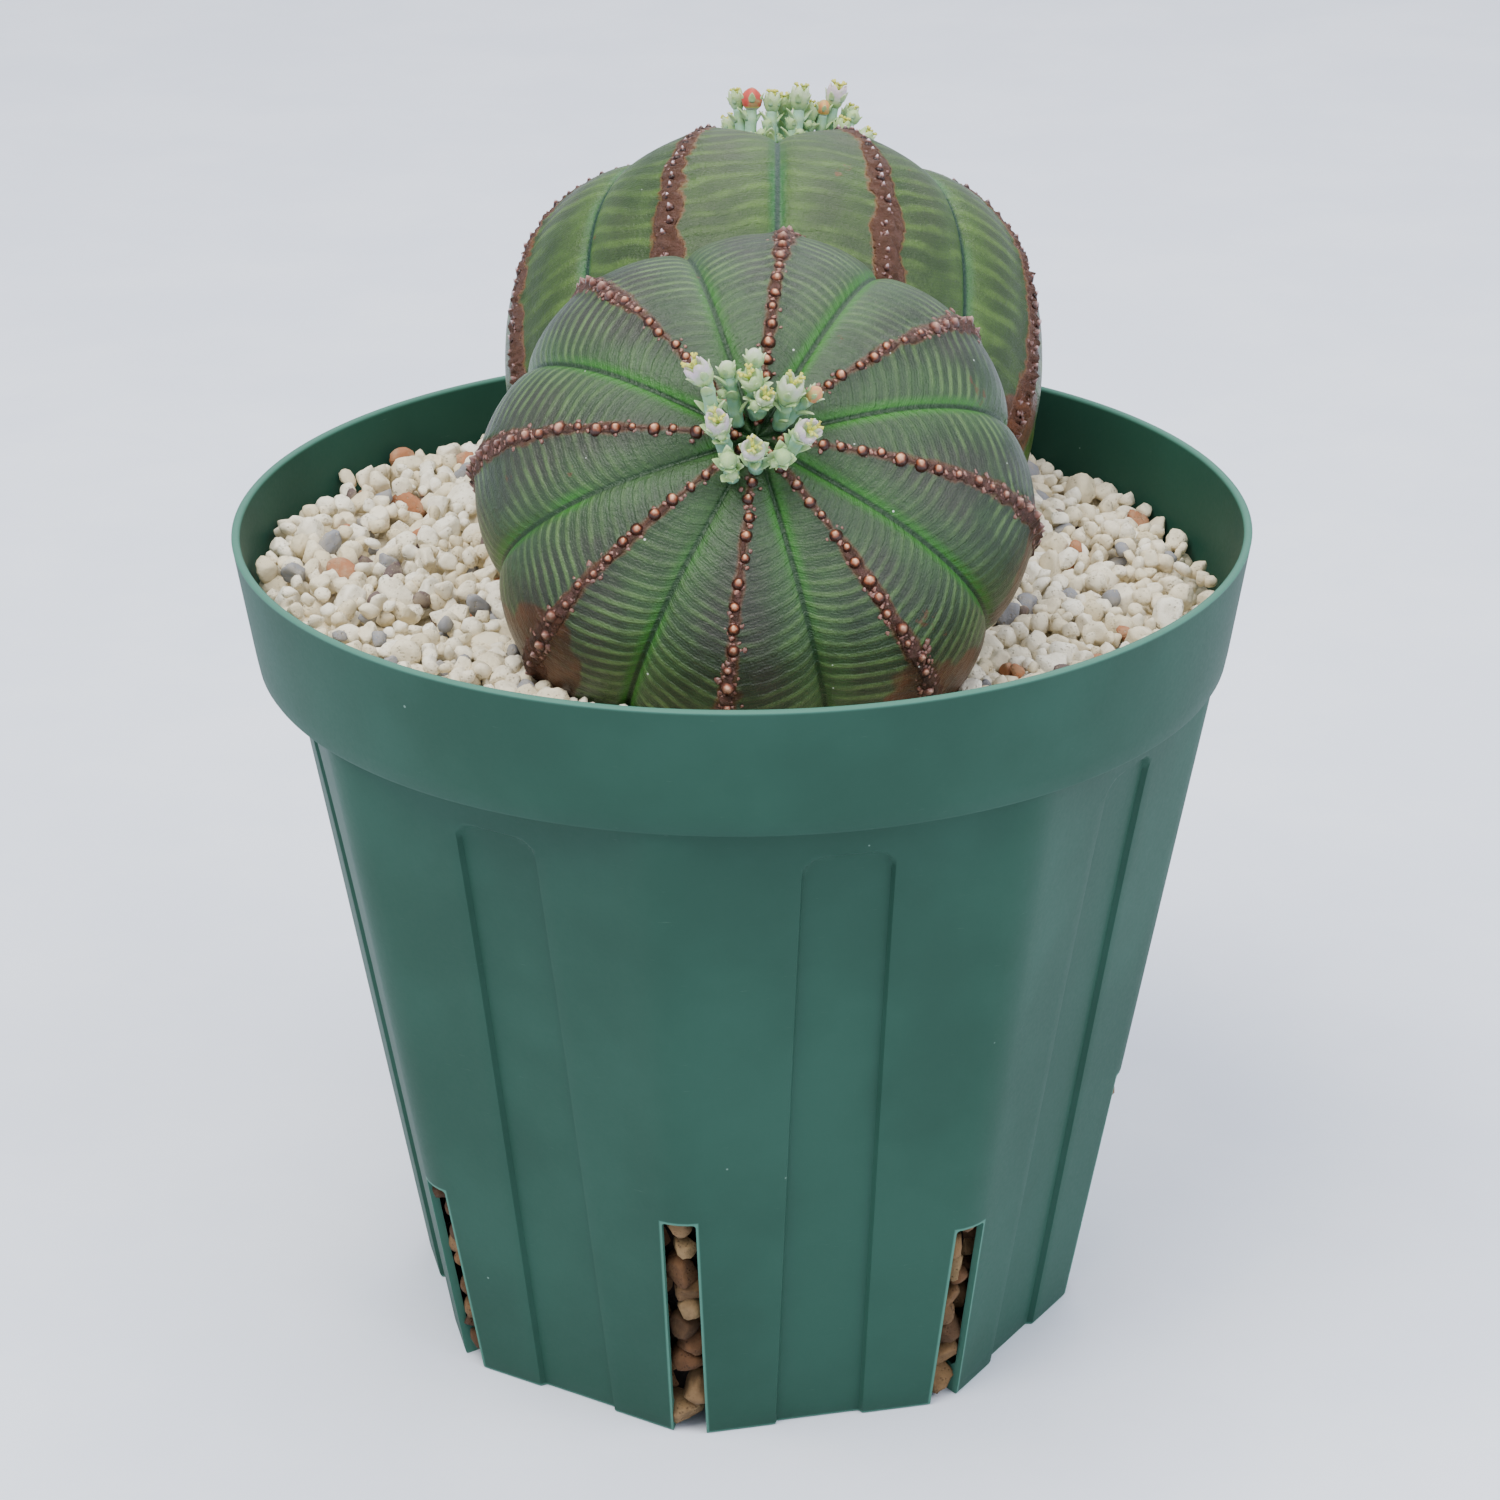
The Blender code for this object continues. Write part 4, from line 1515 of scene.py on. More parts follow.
    def build_beads(self) -> list[bpy.types.Object]:
        """Build the beads of one stem, and the crust between the older ones.

        Returns:
            The two pieces.
        """
        rows = self.bead_rows(np.random.default_rng(self.seed))
        axis = Vector(self.shape.axes()[0])
        variants = [self.bead_mesh(1, 0.62), self.bead_mesh(2, 0.52), self.bead_mesh(3, 0.7),
                    self.crumb_mesh(4), self.crumb_mesh(5)]
        mat = self.horn.material()
        pieces = []
        for word, chosen in (("beads", [row for row in rows if row[3] < 3]),
                             ("crust", [row for row in rows if row[3] >= 3])):
            turns = []
            for row in chosen:
                way = Vector(row[1]).normalized()
                tip = axis - way * way.dot(axis)
                right = way.cross(tip.normalized() if tip.length > 1e-4 else Vector((1, 0, 0)))
                toward = right.cross(way)
                turns.append(tuple(Matrix((toward, right, way)).transposed().to_euler()))
            sizes = np.repeat(np.array([[row[2]] for row in chosen]), 3, axis=1)
            mesh = scatter(f"{self.shape.stem.value}_{word}", np.array([row[0] for row in chosen]),
                           np.array(turns, dtype=np.float32), sizes.astype(np.float32),
                           np.array([row[3] for row in chosen], dtype=np.int32),
                           np.array([row[4] for row in chosen], dtype=np.float32), variants, mat,
                           self.seed)
            pieces.append(place_piece(f"{self.shape.stem.value}_rib_{word}", mesh, mat,
                                      (f"{self.shape.stem.value}_stem",)))
        return pieces

    def build(self) -> list[bpy.types.Object]:
        """Build the stem.

        Returns:
            Its pieces.
        """
        return [self.build_skin()] + self.build_beads()


# Loose fill


@dataclass
class GrainShapes:
    """Worn, flat-sided grains cut from a sphere by seeded planes."""

    grain: Grain
    count: int
    seed: int
    cuts: int = 11
    level: int = 3

    def meshes(self) -> list[bpy.types.Mesh]:
        """Make the variants.

        Returns:
            Meshes of about unit radius.
        """
        rng = np.random.default_rng(self.seed)
        made = []
        for number in range(self.count):
            bm = bmesh.new()
            bmesh.ops.create_icosphere(bm, subdivisions=self.level, radius=1.0)
            points = np.array([v.co for v in bm.verts])
            ways = rng.normal(size=(self.cuts, 3))
            ways /= np.linalg.norm(ways, axis=1, keepdims=True)
            depths = rng.uniform(0.54, 0.86, self.cuts)
            for way, depth in zip(ways, depths):
                over = (points @ way - depth).clip(0.0)
                points -= over[:, None] * way * 0.96
            for vert, point in zip(bm.verts, points):
                lump = noise.fractal(Vector(point) * 2.6 + Vector((number, 0, 0)), 0.8, 2.0, 3)
                vert.co = Vector(point) * (1.06 + 0.1 * lump)
            made.append(lump_mesh(f"{self.grain.value}_{number}", bm))
        return made


@dataclass
class GravelBed:
    """Pale pumice top dressing: grains settled between the wall and the stems."""

    shapes: tuple[StemShape, StemShape]
    stone: GrainStone
    count: int = 3000
    rounds: int = 60
    relist: int = 8
    depth: float = 5.4
    big: float = 1.55
    shares: tuple[float, float] = (0.68, 0.94)
    radii: tuple[tuple[float, float], ...] = ((0.95, 1.5), (1.5, 2.1), (2.1, 2.9))
    bed_sides: int = 96
    seed: int = 11

    def obstacles(self) -> list[BVHTree]:
        """Coarse skins of the stems, for the grains to rest against.

        Returns:
            One tree for each stem.
        """
        trees = []
        for shape in self.shapes:
            theta, phi = np.meshgrid(np.linspace(0.02, 3.1, 60), np.linspace(0, TAU, 96, False),
                                     indexing="ij")
            points = shape.skin(theta, phi).reshape(-1, 3)
            trees.append(BVHTree.FromPolygons(points.tolist(), grid_faces(60, 96).tolist()))
        return trees

    def clear_of_stems(self, points: np.ndarray, radii: np.ndarray, trees: list[BVHTree]) -> None:
        """Push grains out of the stems, in place.

        Args:
            points: grain centres.
            radii: grain radii.
            trees: the stems' skins.
        """
        for shape, tree in zip(self.shapes, trees):
            centre = np.array(shape.centre)
            close = np.nonzero(np.linalg.norm(points - centre, axis=1) < shape.radius + 12.0)[0]
            for k in close:
                spot, _, _, gap = tree.find_nearest(Vector(points[k]))
                away = points[k] - np.array(spot)
                inside = (np.linalg.norm(points[k] - centre)
                          < np.linalg.norm(np.array(spot) - centre))
                way = away / (np.linalg.norm(away) + 1e-9) * (-1.0 if inside else 1.0)
                reach = radii[k] * 0.9
                if inside or gap < reach:
                    points[k] = np.array(spot) + way * reach

    def settle(self) -> tuple[np.ndarray, np.ndarray]:
        """Find where the grains lie by pushing overlapping ones apart.

        Returns:
            Centres and radii.
        """
        rng = np.random.default_rng(self.seed)
        trees = self.obstacles()
        pick = rng.random(self.count)
        small, middle, large = (rng.uniform(*ends, self.count) for ends in self.radii)
        radii = np.where(pick < self.shares[0], small,
                         np.where(pick < self.shares[1], middle, large))
        out = 70.0 * np.sqrt(rng.random(self.count))
        angle = rng.random(self.count) * TAU
        x, y = out * np.sin(angle), out * np.cos(angle)
        points = np.stack([x, y, gravel_level(x, y) - rng.random(self.count) * self.depth], axis=1)
        uneven = rng.normal(0.0, 0.4, self.count)
        for turn in range(self.rounds):
            if turn % self.relist == 0:
                one, two = self.neighbours(points)
            gap = points[one] - points[two]
            dist = np.linalg.norm(gap, axis=1) + 1e-6
            push = ((radii[one] + radii[two]) * 0.88 - dist).clip(0.0) * 0.3
            move = gap / dist[:, None] * push[:, None]
            for axis in range(3):
                points[:, axis] += np.bincount(one, move[:, axis], self.count)
                points[:, axis] -= np.bincount(two, move[:, axis], self.count)
            self.clear_of_stems(points, radii, trees)
            top = gravel_level(points[:, 0], points[:, 1]) + uneven
            points[:, 2] = np.clip(points[:, 2], top - self.depth + radii * 0.5, top - radii * 0.8)
            limit = rim_radius(points[:, 2]) - WALL - radii
            away = np.hypot(points[:, 0], points[:, 1])
            points[:, :2] *= np.where(away > limit, limit / np.maximum(away, 1e-6), 1.0)[:, None]
        return points, radii

    def neighbours(self, points: np.ndarray, reach: float = 6.5) -> tuple[np.ndarray, np.ndarray]:
        """List the pairs of grains that may touch soon.

        Args:
            points: grain centres.
            reach: largest distance of a listed pair.

        Returns:
            Numbers of the first and of the second grain of each pair.
        """
        first, second = [], []
        for start in range(0, len(points), 500):
            block = points[start:start + 500]
            dist = ((block[:, None, :] - points[None, :, :]) ** 2).sum(axis=2)
            one, two = np.nonzero(dist < reach * reach)
            one = one + start
            keep = one < two
            first.append(one[keep])
            second.append(two[keep])
        return np.concatenate(first), np.concatenate(second)

    def bed(self) -> bpy.types.Mesh:
        """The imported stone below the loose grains.

        Returns:
            A closed disc a few millimetres under the top.
        """
        angle = np.arange(self.bed_sides) * TAU / self.bed_sides
        rings = []
        for radius in (0.5, 70.2):
            rings.append(np.stack([radius * np.sin(angle), -radius * np.cos(angle),
                                   np.full(self.bed_sides, BED_Z)], axis=1))
        for radius in np.linspace(71.0, 1.0, 30):
            x = radius * np.sin(angle)
            y = -radius * np.cos(angle)
            rings.append(np.stack([x, y, gravel_level(x, y) - self.depth], axis=1))
        points = np.concatenate(rings)
        return outward(mesh_of("gravel_bed", points, tube_faces(len(rings), self.bed_sides),
                               {"tint": np.full(len(points), 0.5)}))

    def build(self) -> list[bpy.types.Object]:
        """Build the gravel.

        Returns:
            Its pieces.
        """
        rng = np.random.default_rng(self.seed + 1)
        points, radii = self.settle()
        mat = self.stone.material()
        draw = rng.random(self.count)
        tints = np.where(draw < 0.90, rng.uniform(0.0, 0.6, self.count),
                         np.where(draw < 0.955, 0.72, np.where(draw < 0.975, 0.82, 0.97)))
        turns = rng.uniform(0.0, TAU, (self.count, 3)).astype(np.float32)
        sizes = (radii[:, None] * rng.uniform(0.75, 1.35, (self.count, 3))).astype(np.float32)
        kinds = rng.integers(0, 8, self.count).astype(np.int32)
        fine = GrainShapes(Grain.PEBBLE, 8, self.seed + 2).meshes()
        coarse = GrainShapes(Grain.PEBBLE, 8, self.seed + 3, 9, 2).meshes()
        pieces = [place_piece("gravel_bed", self.bed(), mat, ("top_gravel",))]
        small = np.nonzero(radii < self.big)[0]
        large = np.nonzero(radii >= self.big)[0]
        large = large[np.argsort(points[large, 0])]
        groups = [(small, coarse)] + [(half, fine) for half in np.array_split(large, 2)]
        for number, (group, variants) in enumerate(groups, start=1):
            mesh = scatter(f"pebbles_{number}", points[group], turns[group], sizes[group],
                           kinds[group], tints[group].astype(np.float32), variants, mat,
                           self.seed + number, TAU)
            pieces.append(place_piece(f"pebbles_{number}", mesh, mat, ("top_gravel",)))
        return pieces


@dataclass
class GritFill:
    """Brown coarse grit that fills the pot and shows in its slits."""

    stone: GrainStone
    pot: SlitPot
    seed: int = 31
    core_inset: float = 4.2
    core_heights: tuple[float, ...] = (5.2, 20.0, 45.0, 75.0, 106.0)
    slit_half: float = 2.2

    def core(self) -> bpy.types.Mesh:
        """The fill behind the grains, coloured near black as painted shade in the gaps between
        them.

        Returns:
            A closed eight-sided solid.
        """
        rings = [self.pot.ring(z, self.core_inset, False) for z in self.core_heights]
        points = np.concatenate(rings)
        # tint 0 picks the grit ramp's near-black stop: painted shade between the grains
        return outward(mesh_of("grit_core", points, tube_faces(len(rings), len(rings[0])),
                               {"tint": np.zeros(len(points))}))

    def grains(self, mat: bpy.types.Material) -> bpy.types.Mesh:
        """The grains that lie against the slits.

        Args:
            mat: their material.

        Returns:
            The joined mesh.
        """
        rng = np.random.default_rng(self.seed)
        places, radii = [], []
        for k in range(SIDES):
            azimuth = CORNER_AZ + k * TAU / SIDES
            way = np.array([math.sin(azimuth), -math.cos(azimuth), 0.0])
            side = np.array([math.cos(azimuth), math.sin(azimuth), 0.0])
            z = 4.0
            while z < SLIT_TOPS[k % 2] + 4.0:
                radius = rng.uniform(1.9, 2.9)
                corner = BASE_R + (BODY_R - BASE_R) * z / BAND_Z - 1.1
                for off in (rng.uniform(-1.2, 1.2), rng.uniform(-6.0, -3.2), rng.uniform(3.2, 6.0)):
                    size = radius * rng.uniform(0.85, 1.1)
                    depth = WALL + 0.5 + abs(off) * 0.42
                    if abs(off) + size * 0.3 < self.slit_half:
                        depth = WALL * 0.35
                    places.append(way * (corner - depth - size) + side * off
                                  + np.array([0, 0, z + rng.uniform(-0.8, 0.8)]))
                    radii.append(size)
                z += radius * 1.45
            for inward in np.arange(4.0, 13.0, 3.6):
                places.append(way * (BASE_R - 1.5 - inward) + side * rng.uniform(-1.5, 1.5)
                              + np.array([0, 0, 4.4]))
                radii.append(rng.uniform(1.7, 2.3))
        count = len(places)
        radii = np.array(radii)
        sizes = (radii[:, None] * rng.uniform(0.9, 1.15, (count, 3))).astype(np.float32)
        return scatter("grit", np.array(places), rng.uniform(0, TAU, (count, 3)).astype(np.float32),
                       sizes, rng.integers(0, 6, count).astype(np.int32),
                       rng.uniform(0.1, 1.0, count).astype(np.float32),
                       GrainShapes(Grain.GRIT, 6, self.seed + 1, 9).meshes(), mat, self.seed)

    def build(self) -> list[bpy.types.Object]:
        """Build the grit.

        Returns:
            Its pieces.
        """
        mat = self.stone.material()
        return [place_piece("slit_grit", self.grains(mat), mat, ("soil",)),
                place_piece("grit_core", self.core(), mat, ("soil",))]


# Flower sprays


class MeshParts:
    """Collects points, faces and hues of several small shapes."""

    def __init__(self) -> None:
        """Start empty."""
        self.points: list[np.ndarray] = []
        self.faces: list[list[int]] = []
        self.hues: list[np.ndarray] = []
        self.total = 0

    def add(self, points: np.ndarray, faces: list[list[int]], hue: np.ndarray) -> None:
        """Add one shape.

        Args:
            points: its points.
            faces: its faces.
            hue: one hue for each point.
        """
        self.points.append(points)
        self.faces.extend([[i + self.total for i in face] for face in faces])
        self.hues.append(np.broadcast_to(hue, (len(points),)))
        self.total += len(points)

    def mesh(self, name: str) -> bpy.types.Mesh:
        """Join everything.

        Args:
            name: mesh name.

        Returns:
            The mesh.
        """
        return outward(mesh_of(name, np.concatenate(self.points), self.faces,
                               {"hue": np.concatenate(self.hues)}))


def turned_frame(way: np.ndarray) -> tuple[np.ndarray, np.ndarray, np.ndarray]:
    """Two directions across a way.

    Args:
        way: the way, of any length.

    Returns:
        The unit way and two unit directions across it.
    """
    way = way / np.linalg.norm(way)
    hint = np.array([0.0, 0.0, 1.0]) if abs(way[2]) < 0.9 else np.array([1.0, 0.0, 0.0])
    one = np.cross(hint, way)
    one /= np.linalg.norm(one)
    return way, one, np.cross(way, one)


@dataclass(frozen=True)
class Cup:
    """One flower cup at the end of a stalk."""

    tip: tuple[float, float, float]
    radius: float = 1.55
    height: float = 3.7
    hue: float = 0.5
    open_mouth: bool = True
    facing: tuple[float, float, float] | None = None


@dataclass(frozen=True)
class SprayPlan:
    """One spray: where it leaves the stem, and its cups."""

    foot: tuple[float, float, float]
    cups: tuple[Cup, ...]


@dataclass
class Spray:
    """Builds one branched spray: jointed stalks, scale leaves and small cup flowers."""

    node: str
    plan: SprayPlan
    axis: np.ndarray
    seed: int
    depth: float
    stalk: float = 1.08
    sides: int = 14
    joints: tuple[float, ...] = (0.22, 0.52, 0.82)

    def tube(self, parts: MeshParts, path: np.ndarray, radii: np.ndarray, hue: np.ndarray,
             sides: int) -> None:
        """Add a round stalk with closed ends.

        Args:
            parts: where to add it.
            path: (n, 3) points.
            radii: radius at each point.
            hue: hue at each point.
            sides: points round the stalk.
        """
        angle = np.arange(sides) * TAU / sides
        ways = np.gradient(path, axis=0)
        rings = []
        for point, way, radius in zip(path, ways, radii):
            _, one, two = turned_frame(way)
            rings.append(point + radius * (np.cos(angle)[:, None] * one
                                           + np.sin(angle)[:, None] * two))
        self.rings(parts, rings, np.repeat(hue, sides))

    def rings(self, parts: MeshParts, rings: list[np.ndarray], hue: np.ndarray) -> None:
        """Add a closed body made of rings.

        Args:
            parts: where to add it.
            rings: its rings, of equal length.
            hue: hue of each point.
        """
        parts.add(np.concatenate(rings), tube_faces(len(rings), len(rings[0])), hue)

    def cup(self, parts: MeshParts, cup: Cup, way: np.ndarray, rng: np.random.Generator) -> None:
        """Add a cup with a lobed mouth, or a closed pointed bud.

        Args:
            parts: where to add it.
            cup: its sizes.
            way: the way its mouth faces.
            rng: seeded draws.
        """
        way, one, two = turned_frame(way)
        tip = np.array(cup.tip)
        sides = 30
        angle = np.arange(sides) * TAU / sides
        start = rng.uniform(0.0, TAU)
        lobes = np.abs(np.cos(2.5 * (angle - start))) ** 0.7
        h, r = cup.height, cup.radius
        if cup.open_mouth:
            profile = [(0.0, 0.3, 0.0), (0.06, 0.58, 0.05), (0.22, 0.8, 0.2), (0.45, 0.96, 0.6),
                       (0.68, 1.0, 0.9), (0.84, 0.95, 1.0), (0.96, 0.86, 1.0), (0.93, 0.72, 1.0),
                       (0.8, 0.58, 0.6), (0.68, 0.4, 0.4), (0.7, 0.12, 0.4)]
        else:
            profile = [(0.0, 0.3, 0.0), (0.06, 0.6, 0.0), (0.22, 0.88, 0.1), (0.46, 1.0, 0.4),
                       (0.68, 0.92, 0.7), (0.84, 0.68, 0.9), (0.94, 0.4, 1.0), (1.0, 0.08, 1.0)]
        rings, hues = [], []
        for up, wide, tone in profile:
            rim = cup.open_mouth and up > 0.9
            outer = 0.2 < up < 0.96 and wide > 0.7
            lift = h * (up - 1.0) + (lobes - 0.6) * (1.05 if rim else 0.0)
            reach = r * wide * (1.0 + (0.13 * (lobes - 0.5) if outer or rim else 0.0))
            uneven = 1.0 + 0.05 * np.sin(3.0 * angle + 4.0 * up + start)
            reach = reach * uneven
            rings.append(tip + np.outer(lift, way) + (reach * np.cos(angle))[:, None] * one
                         + (reach * np.sin(angle))[:, None] * two)
            share = tone if cup.hue < 0.7 else min(1.0, 6.0 * up)
            tones = 0.2 + (cup.hue - 0.2) * share + 0.05 * (0.5 - lobes)
            hues.append(np.full(sides, tones))
        self.rings(parts, rings, np.concatenate(hues))
        for k in range(5):
            turn = start + TAU * k / 5
            out = math.cos(turn) * one + math.sin(turn) * two
            foot = tip - way * (0.62 * h) + out * r * 0.86
            self.leaf(parts, foot, way + out * 0.12, out, 0.44 * h, 0.7 * r,
                      min(cup.hue, 0.45))
        if cup.open_mouth:
            self.stigmas(parts, tip - way * (0.25 * h), way, one, two, r, rng)

    def stigmas(self, parts: MeshParts, foot: np.ndarray, way: np.ndarray, one: np.ndarray,
                two: np.ndarray, radius: float, rng: np.random.Generator) -> None:
        """Add three forked yellow stigmas that stand out of a cup.

        Args:
            parts: where to add them.
            foot: where they start.
            way: the way the cup faces.
            one: a direction across it.
            two: the other direction across it.
            radius: the cup's radius.
            rng: seeded draws.
        """
        for k in range(3):
            turn = TAU * (k + rng.uniform(-0.2, 0.2)) / 3
            out = math.cos(turn) * one + math.sin(turn) * two
            side = np.cross(way, out)
            knee = foot + way * (0.8 * radius) + out * (0.45 * radius)
            self.tube(parts, np.array([foot, (foot + knee) / 2, knee]),
                      np.array([0.3, 0.26, 0.24]), np.full(3, 0.76), 7)
            for fork in (-0.5, 0.5):
                end = knee + (way * 0.42 + out * 0.4 + side * fork) * radius * 0.62
                self.tube(parts, np.array([knee - out * 0.08, (knee + end) / 2, end]),
                          np.array([0.22, 0.19, 0.24]), np.full(3, 0.78), 7)

    def leaf(self, parts: MeshParts, base: np.ndarray, way: np.ndarray, out: np.ndarray,
             length: float, width: float, hue: float) -> None:
        """Add a small thick scale leaf.

        Args:
            parts: where to add it.
            base: its foot.
            way: the way it points.
            out: the way its back faces.
            length: its length.
            width: its width.
            hue: hue at its tip.
        """
        way = way / np.linalg.norm(way)
        across = np.cross(way, out)
        across /= np.linalg.norm(across)
        back = np.cross(across, way)
        rows, sides = 7, 10
        angle = np.arange(sides) * TAU / sides
        rings = []
        for t in np.linspace(0.0, 1.0, rows):
            wide = width * 0.5 * max(0.06, math.sin(math.pi * (0.28 + 0.7 * t))) ** 0.8
            curl = back * (0.3 * length * t * t)
            rings.append(base + way * (length * t) + curl
                         + wide * np.cos(angle)[:, None] * across
                         + (0.16 + 0.24 * wide) * (1.0 - 0.5 * t) * np.sin(angle)[:, None] * back)
        self.rings(parts, rings, np.repeat(np.linspace(0.16, hue, rows), sides))

    def branch(self, parts: MeshParts, cup: Cup, number: int, rng: np.random.Generator) -> None:
        """Add one jointed stalk with its leaves, side bud and cup.

        Args:
            parts: where to add it.
            cup: the cup it carries.
            number: its number in the spray.
            rng: seeded draws.
        """
        foot = np.array(self.plan.foot) - self.axis * self.depth
        tip = np.array(cup.tip)
        bend = foot + (tip - foot) * 0.5 + self.axis * 0.6
        way = np.array(cup.facing) if cup.facing else tip - bend
        way = way / np.linalg.norm(way)
        end = tip - way * (cup.height * 0.88)
        t = np.linspace(0.0, 1.0, 25)
        curve = t[:, None]
        path = (1 - curve) ** 2 * foot + 2 * curve * (1 - curve) * bend + curve ** 2 * end
        swell = sum(np.exp(-((t - joint) / 0.05) ** 2) for joint in self.joints)
        scale = min(1.0, 0.55 + cup.radius * 0.3)
        radii = self.stalk * scale * (1.0 - 0.2 * t) * (1.0 + 0.16 * swell)
        self.tube(parts, path, radii, 0.02 + 0.12 * t + 0.1 * swell, self.sides)
        self.cup(parts, cup, way, rng)
        turn = rng.uniform(0.0, TAU)
        for place, joint in enumerate(self.joints[1 if number else 0:]):
            k = int(joint * (len(path) - 1))
            along, one, two = turned_frame(path[k + 1] - path[k])
            for half in (0.0, math.pi):
                aim = turn + half + place * 1.9
                out = math.cos(aim) * one + math.sin(aim) * two
                self.leaf(parts, path[k] + out * radii[k] * 0.7, along + out * 0.42, out,
                          rng.uniform(1.7, 2.5), rng.uniform(1.4, 1.9), rng.uniform(0.3, 0.45))
            if place == 1:
                out = math.cos(turn + 0.8) * one + math.sin(turn + 0.8) * two
                bud = Cup(tuple(path[k] + out * 1.9 + along * 1.5), rng.uniform(0.6, 0.8), 1.6,
                          0.36, False)
                self.cup(parts, bud, along + out * 0.8, rng)

    def build(self, mat: bpy.types.Material) -> bpy.types.Object:
        """Build the spray.

        Args:
            mat: flower material.

        Returns:
            The piece.
        """
        rng = np.random.default_rng(self.seed)
        parts = MeshParts()
        for number, cup in enumerate(self.plan.cups):
            self.branch(parts, cup, number, rng)
        return place_piece(f"{self.node}_bloom", parts.mesh(self.node), mat, (self.node,))


# Studio


@dataclass
class Studio:
    """Pale floor, soft lights and the photo's camera."""

    eye: tuple[float, float, float] = (-1.823, -617.335, 356.998)
    pitch: float = math.radians(23.4945)
    yaw: float = math.radians(0.2633)
    roll: float = math.radians(-0.3237)
    lens: float = 107.04
    floor_colour: str = "#EDF1FB"
    floor_shade: str = "#E6EBF7"
    floor_reach: float = 6000.0
    sky_colour: str = "#DFE7F7"
    sky_strength: float = 0.95
    lamps: tuple[tuple, ...] = (("key", (-0.42, -0.45, 1.25), 1.0, 23.0, "#FFFDF8"),
                                ("fill", (0.85, -0.55, 0.95), 1.1, 12.0, "#F6F8FF"),
                                ("back", (0.15, 0.75, 1.1), 0.9, 8.0, "#FFFFFF"))

    def floor(self) -> bpy.types.Object:
        """A wide plain floor.

        Returns:
            The staged floor.
        """
        reach = self.floor_reach
        points = [(x, y, 0.0) for x, y in ((-reach, -reach), (reach, -reach), (reach, reach),
                                           (-reach, reach))]
        mesh = mesh_of("plain_floor", np.array(points), [[0, 1, 2, 3]])
        mat, put, shader = new_material("plain_floor")
        cloud = put(Kind.NOISE, put(Kind.PLACE), lumps(60.0), 5.0, 0.6)
        colour = put(Kind.MIX, put(Kind.EASE, cloud, 0.35, 0.7), srgb(self.floor_shade),
                     srgb(self.floor_colour))
        feed(shader, {"Base Color": colour, "Roughness": 0.85})
        mesh.materials.append(mat)
        obj = bpy.data.objects.new("plain_floor", mesh)
        bpy.context.scene.collection.objects.link(obj)
        return obj

    def light(self, name: str, place: tuple[float, float, float], size: float, power: float,
              colour: str) -> None:
        """Add one large soft light that points at the plant.

        Args:
            name: light name.
            place: where it is, in metres.
            size: its width in metres.
            power: its power in watts.
            colour: its colour.
        """
        lamp = bpy.data.lights.new(name, "AREA")
        lamp.shape = "DISK"
        lamp.size = size
        lamp.energy = power
        lamp.color = srgb(colour)[:3]
        obj = bpy.data.objects.new(name, lamp)
        obj.location = place
        obj.rotation_euler = (Vector((0.0, 0.0, 0.1)) - Vector(place)).to_track_quat(
            "-Z", "Y").to_euler()
        bpy.context.scene.collection.objects.link(obj)

    def camera(self) -> None:
        """Set the camera to the pose fitted to the photo."""
        way = np.array([math.sin(self.yaw) * math.cos(self.pitch),
                        math.cos(self.yaw) * math.cos(self.pitch), -math.sin(self.pitch)])
        right = np.array([math.cos(self.yaw), -math.sin(self.yaw), 0.0])
        up = np.cross(right, way)
        across = math.cos(self.roll) * right + math.sin(self.roll) * up
        above = -math.sin(self.roll) * right + math.cos(self.roll) * up
        matrix = Matrix((across, above, -way)).transposed().to_4x4()
        data = bpy.data.cameras.new("camera")
        data.sensor_width = 36.0
        data.lens = self.lens
        obj = bpy.data.objects.new("camera", data)
        obj.matrix_world = Matrix.Translation(Vector(self.eye) * MM) @ matrix
        bpy.context.scene.collection.objects.link(obj)
        bpy.context.scene.camera = obj

    def build(self) -> None:
        """Add the floor, the lights, the sky and the camera."""
        self.floor()
        for lamp in self.lamps:
            self.light(*lamp)
        world = bpy.data.worlds.new("sky")
        world.use_nodes = True
        sky = world.node_tree.nodes["Background"]
        sky.inputs[0].default_value = srgb(self.sky_colour)
        sky.inputs[1].default_value = self.sky_strength
        bpy.context.scene.world = world
        self.camera()


FRONT_SHAPE = StemShape(Stem.FRONT, (1.77, -30.0, 139.64), 39.32, 25.2, 31.0, (0.006, -1.142),
                        math.radians(-6.72), 0.954, 0.056, -1.0, (1.6, -13.0))
REAR_SHAPE = StemShape(Stem.REAR, (5.06, 34.0, 137.09), 42.03, 34.8, 34.8, (0.024, 0.962),
                       math.radians(22.02), 0.866, 0.047, 1.0, (4.6, 18.0), spray_depth=4.2)

FRONT_SKIN = StemSkin("front_skin", dark="#1F2D1B", green="#304E27", purple="#3A3031",
                      band="#5E7C45", furrow="#30681F", furrow_line="#133411", cork="#38200F",
                      cork_edge="#56301A", crust="#644039", spacing=1.95, slant=0.22,
                      cork_width=0.3, cork_growth=3.2, band_strength=0.75, purple_share=0.5,
                      brown_from=0.72)
REAR_SKIN = StemSkin("rear_skin", dark="#253A12", green="#3E5A1F", purple="#494838",
                     band="#5C7C30", furrow="#2F6132", furrow_line="#133626", cork="#4C2B1A",
                     cork_edge="#6E3F22", crust="#5E3C31", spacing=3.3, slant=0.22,
                     cork_width=0.7, cork_growth=2.6, band_strength=0.5, purple_share=0.45,
                     brown_from=0.82)

FRONT_HORN = BeadHorn("front_horn", tip="#E6B08C", middle="#8C4C30", foot="#34180E")
REAR_HORN = BeadHorn("rear_horn", tip="#D3C2CC", middle="#70463A", foot="#2C1712")
